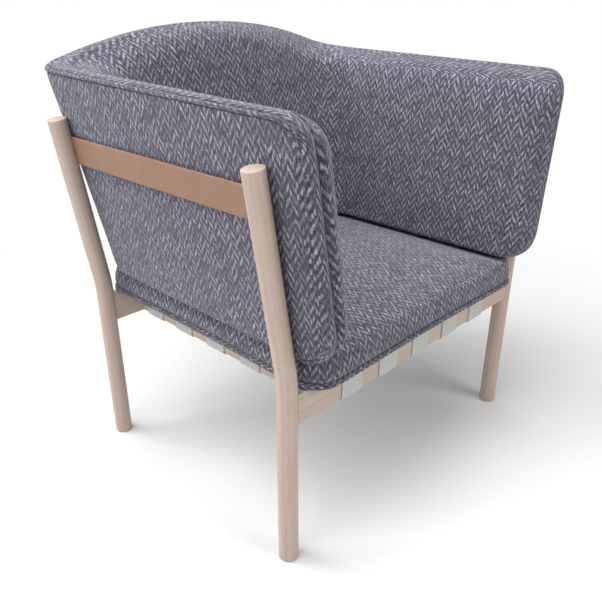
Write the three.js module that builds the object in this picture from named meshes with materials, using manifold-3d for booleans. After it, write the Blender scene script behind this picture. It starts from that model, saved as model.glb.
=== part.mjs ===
// Easy chair: a U-shaped upholstered shell on a light frame of round bent legs.
// Millimetres, +Z up, the sitter faces -Y, the origin is on the floor under the middle of the outline.

import * as THREE from 'three';
import { mergeVertices } from 'three/addons/utils/BufferGeometryUtils.js';
import Module from 'manifold-3d';

const wasm = await Module();
wasm.setup();

// Clearances
const fitGap = 0.3;
const weltGap = 0.5;
const cutOverrun = 8;

// Legs: upright to the seat, bent there, then leaning out as posts
const legSpacingX = 648;
const legSpacingY = 504;
const legFootDiameter = 33;
const legTopDiameter = 32;
const legEdgeRadius = 1.6;
const legBendHeight = 342;
const legBendRadius = 260;
const postTopHeight = 659;
const postLeanOut = 45;
const postLeanInwardFront = 8;
const postLeanInwardRear = 4;

// Glides let into the feet
const glideDiameter = 24;
const glideThickness = 3;
const glideProud = 1;
const glidePinDiameter = 6;
const glidePinLength = 14;
const glideEdge = 0.8;

// Rails: boards on edge
const railHeight = 55;
const railThickness = 24;
const railBottomHeight = 262;
const railEdgeRadius = 3;
const sideRailSetIn = 86;

// Loose tenons between rails and legs, and between the rails
const tenonThickness = 8;
const tenonHeight = 34;
const tenonInLeg = 19;
const tenonInRail = 24;
const tenonInRailSide = 14;

// Webbing, interlaced over the rails
const webbingWidth = 50;
const webbingThickness = 2;
const webbingRailClearX = 11;
const webbingRailClearY = 27;
const webbingOffsetY = 8;
const webbingCount = 5;
const webbingTuck = 16;

// Leather strap in rebates on the inner sides of the posts, and its countersunk screws
const strapWidth = 49;
const strapThickness = 3;
const strapBelowTop = 56.5;
const strapOffAxis = 12;
const strapPastPost = 8;
const strapScrewSpacing = 26;
const screwHeadDiameter = 7;
const screwHeadHeight = 2;
const screwShankDiameter = 4;
const screwLength = 17;

// Seat cushion
const cushionLegClear = 9.5;
const cushionFrontOverhang = 37;
const cushionRearOverhang = 33;
const cushionSideHeight = 48;
const cushionSideSlope = 5;
const cushionSideBulge = 2.5;
const cushionEdgeRadius = 8;
const cushionCornerRadius = 46;
const cushionDrawIn = 3.5;
const cushionCrown = 20;
const cushionCrownRun = 62;
const cushionRestSides = 46;
const cushionRestBack = 66;

// Piping
const weltRadius = 3;
const weltSeat = 6.5;
const cushionWeltRadius = 4.5;
const cushionWeltSeat = 9.5;

// Upholstered shell: arms and back in one bent panel
const shellFrontOverhang = 62;
const shellFrontLean = 10;
const shellStandOff = 2.6;
const shellBackSetIn = 9;
const shellRecline = 10 * Math.PI / 180;
const shellOuterCorner = 37;
const shellInnerCorner = 75;
const armTopAbovePost = 75;
const armTopFrontDrop = 13;
const armTopCorner = 45;
const armBottomCorner = 58;
const backRise = 60;
const backArchHalfWidth = 362;
const bandWidth = 30;
const coreThickness = 12;
const coreRimWidth = 16;
const padCrown = 30;
const padCrownRun = 30;

// Studs through the straps' ends that carry the shell on the posts
const studDiameter = 5;
const studInPost = 18;
const studInCore = 8;
const studEdge = 0.6;

// Shape counts and shares
const roundSides = 16;
const smallSides = 8;
const weltSides = 6;
const bendSteps = 4;
const wrapSteps = 3;
const tenonSteps = 2;
const cushionCornerSteps = 5;
const cushionSideSteps = 6;
const cushionSideShares = [0.35, 0.7, 1];
const cushionEdgeShares = [0.5, 1];
const cushionTopShares = [0.94, 0.85, 0.7, 0.5, 0.25];
const blendPower = 4;
const armColumnShares = [0, 0.025, 0.08, 0.18, 0.36, 0.6, 0.82];
const cornerSteps = 5;
const backSteps = 10;
const bottomCornerShares = [0, 1 / 3, 2 / 3, 1];
const middleRowShares = [0.45];
const topCornerShares = [1, 0.5, 0];
const archEndShare = 0.12;
const archPower = 2.15;

const postRise = postTopHeight - legBendHeight;
const leanAngle = Math.atan2(postLeanOut, postRise);
const railTopHeight = railBottomHeight + railHeight;
const railMiddle = railBottomHeight + railHeight / 2;
const sideRailX = legSpacingX / 2 - sideRailSetIn;
const strapHeight = postTopHeight - strapBelowTop;
const armTopRearHeight = postTopHeight + armTopAbovePost;
const armTopFrontHeight = armTopRearHeight - armTopFrontDrop;
const webbingLevel = railTopHeight + fitGap + webbingThickness / 2;
const webbingSwing = (webbingThickness + fitGap) / 2;

// Materials
const beech = new THREE.MeshStandardMaterial({ color: 0xd2b8a2, roughness: 0.55, metalness: 0 });
const tenonWood = new THREE.MeshStandardMaterial({ color: 0xc9a988, roughness: 0.7, metalness: 0 });
const webbingCloth = new THREE.MeshStandardMaterial({ color: 0xc9cbc8, roughness: 0.9, metalness: 0 });
const leather = new THREE.MeshStandardMaterial({ color: 0xb08a70, roughness: 0.6, metalness: 0 });
const wool = new THREE.MeshStandardMaterial({ color: 0x77757f, roughness: 0.95, metalness: 0 });
const piping = new THREE.MeshStandardMaterial({ color: 0x6a6872, roughness: 0.95, metalness: 0 });
const plywood = new THREE.MeshStandardMaterial({ color: 0xc8a77c, roughness: 0.7, metalness: 0 });
const steel = new THREE.MeshStandardMaterial({ color: 0x9a9a9c, roughness: 0.35, metalness: 1 });
const nylon = new THREE.MeshStandardMaterial({ color: 0xd8d4cc, roughness: 0.5, metalness: 0 });

/** A geometry's positions alone, with shared vertices merged, as a solid for joins and cuts. */
function toSolid(geometry) {
  const bare = geometry.clone();
  bare.deleteAttribute('normal');
  bare.deleteAttribute('uv');
  const merged = mergeVertices(bare);
  const vertProperties = new Float32Array(merged.getAttribute('position').array);
  const triVerts = new Uint32Array(merged.getIndex().array);
  return new wasm.Manifold(new wasm.Mesh({ numProp: 3, vertProperties, triVerts }));
}

/** The solid's surface as a geometry again. */
function toGeometry(solid) {
  const mesh = solid.getMesh();
  return indexedGeometry(mesh.vertProperties, mesh.triVerts);
}

function indexedGeometry(positions, indices) {
  const geometry = new THREE.BufferGeometry();
  geometry.setAttribute('position', new THREE.BufferAttribute(new Float32Array(positions), 3));
  geometry.setIndex(new THREE.BufferAttribute(new Uint32Array(indices), 1));
  geometry.computeVertexNormals();
  return geometry;
}

/** The first geometry with all the cutters taken out of it. */
function cut(geometry, cutters) {
  let solid = toSolid(geometry);
  for (const cutter of cutters) {
    solid = solid.subtract(toSolid(cutter));
  }
  return toGeometry(solid);
}

/** A turned piece about +Z from a profile of [radius, height] pairs that starts and ends on the axis. */
function turned(profile, sides) {
  const points = profile.map(([radius, height]) => new THREE.Vector2(radius, height));
  const geometry = new THREE.LatheGeometry(points, sides);
  geometry.rotateX(Math.PI / 2);
  return geometry;
}

/** A straight pin about +Z between two heights. */
function pin(radius, low, high, sides = smallSides) {
  return turned([[0, low], [radius, low], [radius, high], [0, high]], sides);
}

/** A rectangle with rounded corners, centred on the origin. */
function roundedRectangle(width, height, radius) {
  const right = width / 2 - radius;
  const top = height / 2 - radius;
  const shape = new THREE.Shape();
  shape.absarc(right, top, radius, 0, Math.PI / 2, false);
  shape.absarc(-right, top, radius, Math.PI / 2, Math.PI, false);
  shape.absarc(-right, -top, radius, Math.PI, 1.5 * Math.PI, false);
  shape.absarc(right, -top, radius, 1.5 * Math.PI, 2 * Math.PI, false);
  shape.closePath();
  return shape;
}

/** A bar along X with a rounded section: its width lies along Y and its height along Z. */
function barAlongX(length, width, height, radius, curveSegments) {
  const shape = roundedRectangle(width, height, radius);
  const geometry = new THREE.ExtrudeGeometry(shape, { depth: length, bevelEnabled: false, curveSegments });
  geometry.translate(0, 0, -length / 2);
  const axes = new THREE.Matrix4().makeBasis(
    new THREE.Vector3(0, 1, 0), new THREE.Vector3(0, 0, 1), new THREE.Vector3(1, 0, 0));
  return geometry.applyMatrix4(axes);
}

function addMesh(parent, name, geometry, material) {
  const mesh = new THREE.Mesh(geometry, material);
  mesh.name = name;
  parent.add(mesh);
  return mesh;
}

// Legs

/** The bent centre line of a leg whose post also leans towards the chair's middle by its top. */
function legLine(leanInward) {
  const tilt = Math.atan2(Math.hypot(postLeanOut, leanInward), postRise);
  const tangent = legBendRadius * Math.tan(tilt / 2);
  const bendStart = legBendHeight - tangent;
  const bendLength = legBendRadius * tilt;
  const length = bendStart + bendLength + postRise / Math.cos(tilt) - tangent;
  return { tilt, turn: Math.atan2(leanInward, postLeanOut), bendStart, bendLength, length };
}

/** A leg's centre line at a length along it from the floor: how far out, how high, and its tilt. */
function legCentre(line, run) {
  if (run <= line.bendStart) {
    return { out: 0, up: run, tilt: 0 };
  }
  const tilt = Math.min((run - line.bendStart) / legBendRadius, line.tilt);
  const straight = Math.max(run - line.bendStart - line.bendLength, 0);
  return {
    out: legBendRadius * (1 - Math.cos(tilt)) + straight * Math.sin(tilt),
    up: line.bendStart + legBendRadius * Math.sin(tilt) + straight * Math.cos(tilt),
    tilt,
  };
}

/** How far a post's centre line stands out from its foot at a height above the bend. */
function postOut(height) {
  return (height - legBendHeight) * Math.tan(leanAngle);
}

/** How far a post's centre line stands towards the chair's middle at a height above the bend. */
function postInward(leanInward, height) {
  return (height - legBendHeight) * leanInward / postRise;
}

/** Turned straight with eased ends, then bent: each ring is carried to the bent centre line. */
function bentLeg(sideX, sideY, leanInward) {
  const line = legLine(leanInward);
  const radiusAt = (run) => THREE.MathUtils.lerp(legFootDiameter, legTopDiameter, run / line.length) / 2;
  const ease = legEdgeRadius * (1 - Math.SQRT1_2);
  const profile = [
    [0, glideProud],
    [radiusAt(0) - legEdgeRadius, glideProud],
    [radiusAt(0) - ease, glideProud + ease],
    [radiusAt(0), glideProud + legEdgeRadius],
  ];
  for (let step = 0; step <= bendSteps; step += 1) {
    const run = line.bendStart + line.bendLength * step / bendSteps;
    profile.push([radiusAt(run), run]);
  }
  profile.push(
    [radiusAt(line.length), line.length - legEdgeRadius],
    [radiusAt(line.length) - ease, line.length - ease],
    [radiusAt(line.length) - legEdgeRadius, line.length],
    [0, line.length],
  );
  const geometry = turned(profile, roundSides);
  const positions = geometry.getAttribute('position');
  for (let index = 0; index < positions.count; index += 1) {
    const centre = legCentre(line, positions.getZ(index));
    const across = positions.getX(index);
    const out = centre.out + across * Math.cos(centre.tilt);
    const up = centre.up - across * Math.sin(centre.tilt);
    positions.setXYZ(index, out, positions.getY(index), up);
  }
  const outward = sideX > 0 ? 0 : Math.PI;
  return geometry.rotateZ(outward - sideX * sideY * line.turn);
}

/** Frame on the posts' common plane at a height, from the foot: X square to the plane, Z up along it. */
function postFrame(sideX, height) {
  const matrix = new THREE.Matrix4().makeRotationY(sideX * leanAngle);
  return matrix.setPosition(sideX * postOut(height), 0, height);
}

/** Turns a piece made about +Z to point from the shell into the post. */
function pointingOut(sideX) {
  return new THREE.Matrix4().makeRotationY(sideX * Math.PI / 2);
}

// Glides

function glideShape(clearance) {
  const radius = glideDiameter / 2 + clearance;
  const top = glideThickness + clearance;
  return turned([
    [0, 0], [radius - glideEdge, 0], [radius, glideEdge], [radius, top],
    [glidePinDiameter / 2 + clearance, top],
    [glidePinDiameter / 2 + clearance, top + glidePinLength], [0, top + glidePinLength],
  ], roundSides);
}

// Screws and studs

/** Countersunk screw about +Z: the flat of its head is at zero and its tip points up. */
function screwShape(clearance) {
  const head = screwHeadDiameter / 2 + clearance;
  const shank = screwShankDiameter / 2 + clearance;
  const start = clearance > 0 ? -cutOverrun : 0;
  return turned([
    [0, start], [head, start], [head, 0], [shank, screwHeadHeight + clearance],
    [shank, screwLength - shank], [0, screwLength + clearance],
  ], smallSides);
}

/** The stud about +Z with zero on the posts' plane: up into the post, down through the pad into the core. */
function studShape(clearance, reach) {
  const radius = studDiameter / 2 + clearance;
  const above = studInPost - legTopDiameter / 2 + clearance;
  if (clearance > 0) {
    return pin(radius, -reach - clearance, above);
  }
  return turned([
    [0, -reach], [radius - studEdge, -reach], [radius, studEdge - reach],
    [radius, above - studEdge], [radius - studEdge, above], [0, above],
  ], smallSides);
}

// Rails and tenons

/** A loose tenon along X with round edges, grown by the clearance for its mortise. */
function tenonShape(length, clearance) {
  const thickness = tenonThickness + 2 * clearance;
  const height = tenonHeight + 2 * clearance;
  return barAlongX(length + 2 * clearance, thickness, height, thickness / 2 - fitGap / 2, tenonSteps);
}

/** How far a front or rear rail's mortise reaches past the leg's centre line into the leg. */
function legTenonStart() {
  return legFootDiameter / 2 - tenonInLeg;
}

/** Middle of a leg tenon, from the leg's centre line towards the chair's middle. */
function legTenonMiddle() {
  return legTenonStart() + legTenonLength() / 2;
}

function legTenonLength() {
  return tenonInLeg + fitGap + tenonInRail;
}

function sideTenonLength() {
  return tenonInRailSide + fitGap + tenonInRail;
}

/** Middle of a side rail's tenon, from the front or rear rail's middle plane towards the chair's middle. */
function sideTenonMiddle() {
  return railThickness / 2 - tenonInRailSide + sideTenonLength() / 2;
}

/** Front or rear rail about its own middle: its ends hug the round legs, mortised for all tenons. */
function crossRail(inwardY) {
  const body = barAlongX(legSpacingX, railThickness, railHeight, railEdgeRadius, 3);
  const cutters = [];
  for (const side of [-1, 1]) {
    const reach = railHeight / 2 + cutOverrun;
    const scribe = pin(legFootDiameter / 2 + fitGap, -reach, reach, roundSides);
    scribe.translate(side * legSpacingX / 2, 0, 0);
    const legMortise = tenonShape(legTenonLength(), fitGap);
    legMortise.translate(side * (legSpacingX / 2 - legTenonMiddle()), 0, 0);
    const sideMortise = tenonShape(sideTenonLength(), fitGap);
    sideMortise.rotateZ(Math.PI / 2);
    sideMortise.translate(side * sideRailX, inwardY * sideTenonMiddle(), 0);
    cutters.push(scribe, legMortise, sideMortise);
  }
  return cut(body, cutters);
}

/** Side rail about its own middle, along Y, mortised at both ends. */
function sideRail() {
  const length = legSpacingY - railThickness - 2 * fitGap;
  const body = barAlongX(length, railThickness, railHeight, railEdgeRadius, 3);
  body.rotateZ(Math.PI / 2);
  const cutters = [-1, 1].map((end) => {
    const mortise = tenonShape(sideTenonLength(), fitGap);
    mortise.rotateZ(Math.PI / 2);
    return mortise.translate(0, end * (legSpacingY / 2 - sideTenonMiddle()), 0);
  });
  return cut(body, cutters);
}

// Webbing

/** Heights of a strap's middle line along its span: it goes over and under the straps it crosses. */
function weavePoints(span, crossings, firstOver) {
  const halfFlat = webbingWidth / 2 + webbingThickness;
  const points = [];
  let over = firstOver;
  for (const crossing of crossings) {
    const height = webbingLevel + (over ? webbingSwing : -webbingSwing);
    points.push([crossing - halfFlat, height], [crossing + halfFlat, height]);
    over = !over;
  }
  const edge = span / 2 - railThickness - webbingThickness;
  return [[-edge, webbingLevel], ...points, [edge, webbingLevel]];
}

/** One end of a strap: from the rail's top round its outer face and under it, as a list of points. */
function wrapPoints(outerFace, side) {
  const off = fitGap + webbingThickness / 2;
  const bend = railEdgeRadius + off;
  const cornerAcross = outerFace - railEdgeRadius;
  const topCorner = railTopHeight - railEdgeRadius;
  const bottomCorner = railBottomHeight + railEdgeRadius;
  const points = [];
  for (let step = 0; step <= wrapSteps; step += 1) {
    const angle = Math.PI / 2 * (1 - step / wrapSteps);
    points.push([side * (cornerAcross + bend * Math.cos(angle)), topCorner + bend * Math.sin(angle)]);
  }
  for (let step = 0; step <= wrapSteps; step += 1) {
    const angle = -Math.PI / 2 * step / wrapSteps;
    points.push([side * (cornerAcross + bend * Math.cos(angle)), bottomCorner + bend * Math.sin(angle)]);
  }
  points.push([side * (outerFace - webbingTuck), railBottomHeight - off]);
  return points;
}

/** A strip of webbing: its middle line thickened both ways in its own plane. */
function stripShape(line) {
  const left = [];
  const right = [];
  line.forEach((point, index) => {
    const before = line[Math.max(index - 1, 0)];
    const after = line[Math.min(index + 1, line.length - 1)];
    const incoming = new THREE.Vector2(point[0] - before[0], point[1] - before[1]).normalize();
    const outgoing = new THREE.Vector2(after[0] - point[0], after[1] - point[1]).normalize();
    const along = incoming.clone().add(outgoing).normalize();
    const half = webbingThickness / 2 / Math.max(along.dot(outgoing), along.dot(incoming));
    left.push(new THREE.Vector2(point[0] - along.y * half, point[1] + along.x * half));
    right.unshift(new THREE.Vector2(point[0] + along.y * half, point[1] - along.x * half));
  });
  return new THREE.Shape([...left, ...right]);
}

function webbingStrap(span, crossings, firstOver) {
  const line = [
    ...wrapPoints(span / 2, -1).reverse(),
    ...weavePoints(span, crossings, firstOver),
    ...wrapPoints(span / 2, 1),
  ];
  const geometry = new THREE.ExtrudeGeometry(stripShape(line), { depth: webbingWidth, bevelEnabled: false });
  return geometry.translate(0, 0, -webbingWidth / 2);
}

// Seat cushion

const cushionBottom = webbingLevel + webbingSwing + webbingThickness / 2 + fitGap;
const cushionHalfWidth = legSpacingX / 2 - legFootDiameter / 2 - cushionLegClear;
const cushionFront = -legSpacingY / 2 - cushionFrontOverhang;
const cushionRear = legSpacingY / 2 + cushionRearOverhang;
const cushionMiddleY = (cushionFront + cushionRear) / 2;
const cushionHalfDepth = (cushionRear - cushionFront) / 2;
const cushionTopSetIn = cushionSideSlope + cushionEdgeRadius;
const shellBackFoot = legSpacingY / 2 - shellBackSetIn;

/** Outline of the cushion seen from above, set in by an amount, with the sides' middles drawn in. */
function cushionOutline(setIn) {
  const halfX = cushionHalfWidth - setIn;
  const halfY = cushionHalfDepth - setIn;
  const radius = Math.max(cushionCornerRadius - setIn, cushionEdgeRadius);
  const corners = [[1, -1], [1, 1], [-1, 1], [-1, -1]];
  const points = [];
  corners.forEach(([signX, signY], quarter) => {
    const start = (quarter - 1) * Math.PI / 2;
    for (let step = 0; step <= cushionCornerSteps; step += 1) {
      const angle = start + Math.PI / 2 * step / cushionCornerSteps;
      points.push([
        signX * (halfX - radius) + radius * Math.cos(angle),
        signY * (halfY - radius) + radius * Math.sin(angle),
      ]);
    }
    const [nextX, nextY] = corners[(quarter + 1) % corners.length];
    const from = points[points.length - 1];
    const nextStart = quarter * Math.PI / 2;
    const to = [
      nextX * (halfX - radius) + radius * Math.cos(nextStart),
      nextY * (halfY - radius) + radius * Math.sin(nextStart),
    ];
    for (let step = 1; step < cushionSideSteps; step += 1) {
      const share = step / cushionSideSteps;
      const pull = cushionDrawIn * Math.sin(Math.PI * share) ** 2;
      const x = THREE.MathUtils.lerp(from[0], to[0], share);
      const y = THREE.MathUtils.lerp(from[1], to[1], share);
      const alongX = Math.abs(to[0] - from[0]) > Math.abs(to[1] - from[1]);
      points.push(alongX ? [x, y - Math.sign(y) * pull] : [x - Math.sign(x) * pull, y]);
    }
  });
  return points.map(([x, y]) => [x, y + cushionMiddleY]);
}

/** Smallest of several distances, blended so that no crease shows. */
function softSmallest(distances) {
  if (Math.min(...distances) <= 0) {
    return 0;
  }
  return distances.reduce((sum, distance) => sum + distance ** -blendPower, 0) ** (-1 / blendPower);
}

/** Rise of the cushion's top over its edge: steep at the edge, then level where the sitter sits. */
function cushionRise(x, y) {
  const inside = softSmallest([
    cushionHalfWidth - cushionRestSides - Math.abs(x),
    y - cushionFront - cushionTopSetIn,
    shellBackFoot - cushionRestBack - y,
  ]);
  return cushionCrown * (1 - Math.exp(-inside / cushionCrownRun));
}

/** Distances set in and heights of the cushion's side, from its piping up to its top edge. */
function cushionSideProfile() {
  const sideTop = cushionSideHeight - cushionEdgeRadius;
  const profile = [[cushionWeltSeat, 0], [0, cushionWeltSeat]];
  for (const share of cushionSideShares) {
    const height = THREE.MathUtils.lerp(cushionWeltSeat, sideTop, share);
    profile.push([cushionSideSlope * share - cushionSideBulge * Math.sin(Math.PI * share), height]);
  }
  for (const share of cushionEdgeShares) {
    const angle = Math.PI / 2 * share;
    profile.push([
      cushionSideSlope + cushionEdgeRadius * (1 - Math.cos(angle)),
      sideTop + cushionEdgeRadius * Math.sin(angle),
    ]);
  }
  return profile;
}

/** The cushion: rings up its side, then rings that shrink over the crowned top, closed at both middles. */
function cushionShape() {
  const rings = cushionSideProfile().map(([setIn, height]) => (
    cushionOutline(setIn).map(([x, y]) => new THREE.Vector3(x, y, cushionBottom + height))
  ));
  const topRim = cushionOutline(cushionTopSetIn);
  for (const share of cushionTopShares) {
    rings.push(topRim.map(([x, y]) => {
      const ringX = x * share;
      const ringY = cushionMiddleY + (y - cushionMiddleY) * share;
      return new THREE.Vector3(ringX, ringY, cushionBottom + cushionSideHeight + cushionRise(ringX, ringY));
    }));
  }
  const bottomMiddle = new THREE.Vector3(0, cushionMiddleY, cushionBottom);
  const topHeight = cushionBottom + cushionSideHeight + cushionRise(0, cushionMiddleY);
  return ringSolid(rings, bottomMiddle, new THREE.Vector3(0, cushionMiddleY, topHeight));
}

/** A closed solid from stacked rings, counter-clockwise from above, closed by a point at each end. */
function ringSolid(rings, firstPoint, lastPoint) {
  const count = rings[0].length;
  const positions = [];
  const indices = [];
  for (const point of [firstPoint, ...rings.flat(), lastPoint]) {
    positions.push(point.x, point.y, point.z);
  }
  const at = (ring, step) => 1 + ring * count + step % count;
  const last = 1 + rings.length * count;
  for (let step = 0; step < count; step += 1) {
    indices.push(0, at(0, step + 1), at(0, step));
    indices.push(last, at(rings.length - 1, step), at(rings.length - 1, step + 1));
    for (let ring = 0; ring + 1 < rings.length; ring += 1) {
      indices.push(at(ring, step), at(ring, step + 1), at(ring + 1, step + 1));
      indices.push(at(ring, step), at(ring + 1, step + 1), at(ring + 1, step));
    }
  }
  return indexedGeometry(positions, indices);
}

/** A cord that closes on itself: rings of points round each point of its run. */
function closedCord(runs) {
  const sides = runs.length;
  const count = runs[0].length;
  const positions = [];
  const indices = [];
  for (const run of runs) {
    for (const point of run) {
      positions.push(point.x, point.y, point.z);
    }
  }
  const at = (side, step) => (side % sides) * count + step % count;
  for (let side = 0; side < sides; side += 1) {
    for (let step = 0; step < count; step += 1) {
      indices.push(at(side, step), at(side + 1, step + 1), at(side, step + 1));
      indices.push(at(side, step), at(side + 1, step), at(side + 1, step + 1));
    }
  }
  return indexedGeometry(positions, indices);
}

/** How far a piping's middle lies from the sharp corner that its seat cuts off, along each face. */
function weltStandOff(radius, seat) {
  return (radius + weltGap - seat * Math.SQRT1_2) * Math.SQRT1_2;
}

/** Piping along the cushion's bottom edge. */
function cushionWelt() {
  const standOff = weltStandOff(cushionWeltRadius, cushionWeltSeat);
  const runs = [];
  for (let side = 0; side < weltSides; side += 1) {
    const angle = 2 * Math.PI * side / weltSides;
    const outline = cushionOutline(-standOff + cushionWeltRadius * Math.cos(angle));
    const height = cushionBottom - standOff + cushionWeltRadius * Math.sin(angle);
    runs.push(outline.map(([x, y]) => new THREE.Vector3(x, y, height)));
  }
  return closedCord(runs);
}

// Shell

const cushionTopEdge = cushionBottom + cushionSideHeight;
const shellFaceOffset = legTopDiameter / 2 + shellStandOff;
const armFront = -legSpacingY / 2 - shellFrontOverhang;
const foamBehindCore = bandWidth - coreThickness - fitGap;
const padFaceDepth = bandWidth + fitGap + weltSeat;
const shellWeltStandOff = weltStandOff(weltRadius, weltSeat);
const weltProud = shellWeltStandOff + weltRadius;

/** Half width of the shell's outer face at a height: it stays parallel to the leaning posts. */
function faceHalfWidth(height) {
  return legSpacingX / 2 + postOut(height) - shellFaceOffset / Math.cos(leanAngle);
}

/** The back's outer face at a height: it leans back from its foot on the cushion. */
function faceRear(height) {
  return shellBackFoot + (height - cushionTopEdge) * Math.tan(shellRecline);
}

/** Plan radius of the rear corners at a depth inside the outer face: wider towards the sitter. */
function cornerRadius(depth) {
  return THREE.MathUtils.lerp(shellOuterCorner, shellInnerCorner, depth / (padFaceDepth + padCrown));
}

/** The columns of the shell's panel from the left arm's front, round the back, to the right arm's front. */
function shellColumns() {
  const left = armColumnShares.map((share) => ({ zone: 'arm', side: -1, share }));
  for (let step = 0; step < cornerSteps; step += 1) {
    left.push({ zone: 'corner', side: -1, share: step / cornerSteps });
  }
  const right = left.map(({ zone, share }) => ({ zone, side: 1, share })).reverse();
  const back = [];
  for (let step = 0; step <= backSteps; step += 1) {
    back.push({ zone: 'back', side: 1, share: 2 * step / backSteps - 1 });
  }
  return [...left, ...back, ...right];
}

/** Rise of the back's top edge at a distance from its middle: an arch that runs out into the arms. */
function archShare(distance) {
  const inside = 1 - Math.abs(distance / backArchHalfWidth) ** archPower;
  return (inside + Math.hypot(inside, archEndShare)) / 2;
}

/** Distance along the top edge from the back's middle to a column, and its place along the arm. */
function columnPlace(column) {
  const straightX = faceHalfWidth(armTopRearHeight) - shellOuterCorner;
  const straightY = faceRear(armTopRearHeight) - shellOuterCorner;
  if (column.zone === 'back') {
    return { distance: straightX * column.share, y: straightY };
  }
  if (column.zone === 'corner') {
    return { distance: straightX + shellOuterCorner * (1 - column.share) * Math.PI / 2, y: straightY };
  }
  const y = THREE.MathUtils.lerp(armFront, straightY, column.share);
  return { distance: straightX + shellOuterCorner * Math.PI / 2 + straightY - y, y };
}

function columnTop(column) {
  const { distance, y } = columnPlace(column);
  const straightY = faceRear(armTopRearHeight) - shellOuterCorner;
  const alongArm = (y - armFront) / (straightY - armFront);
  const line = THREE.MathUtils.lerp(armTopFrontHeight, armTopRearHeight, alongArm);
  return line + backRise * archShare(distance);
}

/** Height of the outer face's bottom edge: its piping rests on the cushion. */
function columnBottom() {
  return cushionTopEdge + fitGap + weltProud;
}

/** Set-back of a rounded corner's edge at a height inside the corner. */
function cornerSetBack(height, radius) {
  if (height >= radius) {
    return 0;
  }
  return radius - Math.sqrt(Math.max(radius ** 2 - (radius - height) ** 2, 0));
}

/** Heights of the panel's rows as shares of the front edge, close together in its rounded corners. */
function shellRowShares() {
  const frontColumn = { zone: 'arm', side: 1, share: 0 };
  const height = columnTop(frontColumn) - columnBottom();
  const low = bottomCornerShares.map((share) => armBottomCorner * (1 - Math.cos(Math.PI / 2 * share)));
  const high = topCornerShares.map((share) => height - armTopCorner * (1 - Math.cos(Math.PI / 2 * share)));
  const middle = middleRowShares.map((share) => (
    THREE.MathUtils.lerp(armBottomCorner, height - armTopCorner, share)
  ));
  return [...low, ...middle, ...high].map((value) => value / height);
}

/**
 * A point of the shell. The row's share gives its height between the panel's edges, setIn draws the
 * panel's edge in, and depth goes from the outer face towards the sitter: level at the bottom edge,
 * square to the leaning face at the top edge.
 */
function shellPoint(column, rowShare, setIn, depth) {
  const frontColumn = { zone: 'arm', side: 1, share: 0 };
  const frontHeight = columnTop(frontColumn) - columnBottom() - 2 * setIn;
  const rowHeight = frontHeight * rowShare;
  const start = armFront + setIn + shellFrontLean * rowShare
    + cornerSetBack(rowHeight, armBottomCorner - setIn)
    + cornerSetBack(frontHeight - rowHeight, armTopCorner - setIn);
  const bottom = columnBottom() + setIn;
  const edgeHeight = bottom + rowShare * (columnTop(column) - setIn - bottom);
  const corner = column.zone === 'corner' ? column.share : Number(column.zone === 'back');
  const tilt = THREE.MathUtils.lerp(leanAngle, shellRecline, corner);
  const height = edgeHeight + rowShare * depth * Math.sin(tilt);
  const radius = cornerRadius(depth);
  const centreX = faceHalfWidth(height) - depth / Math.cos(leanAngle) - radius;
  const centreY = faceRear(height) - depth / Math.cos(shellRecline) - radius;
  if (column.zone === 'arm') {
    return new THREE.Vector3(
      column.side * (centreX + radius), THREE.MathUtils.lerp(start, centreY, column.share), height);
  }
  if (column.zone === 'corner') {
    const angle = Math.PI / 2 * column.share;
    return new THREE.Vector3(
      column.side * (centreX + radius * Math.cos(angle)), centreY + radius * Math.sin(angle), height);
  }
  return new THREE.Vector3(centreX * column.share, centreY + radius, height);
}

/** The whole panel's points at one set-in and depth, column by column. */
function shellGrid(setIn, depth) {
  return shellColumns().map((column) => (
    shellRowShares().map((share) => shellPoint(column, share, setIn, depth))
  ));
}

/** Height of the inner pad's crown over its rim: rounded off towards every edge of the panel. */
function crownAt(column, rowShare) {
  const point = shellPoint(column, rowShare, 0, padFaceDepth);
  const rowStart = shellPoint({ zone: 'arm', side: 1, share: 0 }, rowShare, 0, padFaceDepth);
  const top = shellPoint(column, 1, 0, padFaceDepth);
  const bottom = shellPoint(column, 0, 0, padFaceDepth);
  const distances = [top.z - point.z, point.z - bottom.z];
  if (column.zone === 'arm') {
    distances.push(point.y - rowStart.y);
  }
  const share = Math.min(softSmallest(distances) / padCrownRun, 1);
  return padCrown * Math.sqrt(1 - (1 - share) ** 2);
}

/** The inner pad's face: the panel at the rim's depth plus the crown. */
function crownedGrid() {
  return shellColumns().map((column) => shellRowShares().map((share) => (
    shellPoint(column, share, 0, padFaceDepth + crownAt(column, share))
  )));
}

/** The edge of a grid as one loop: along the bottom, up, back along the top, and down. */
function gridEdge(grid) {
  const columns = grid.length - 1;
  const rows = grid[0].length - 1;
  const loop = [];
  for (let column = 0; column < columns; column += 1) {
    loop.push(grid[column][0]);
  }
  for (let row = 0; row < rows; row += 1) {
    loop.push(grid[columns][row]);
  }
  for (let column = columns; column > 0; column -= 1) {
    loop.push(grid[column][rows]);
  }
  for (let row = rows; row > 0; row -= 1) {
    loop.push(grid[0][row]);
  }
  return loop;
}

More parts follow.
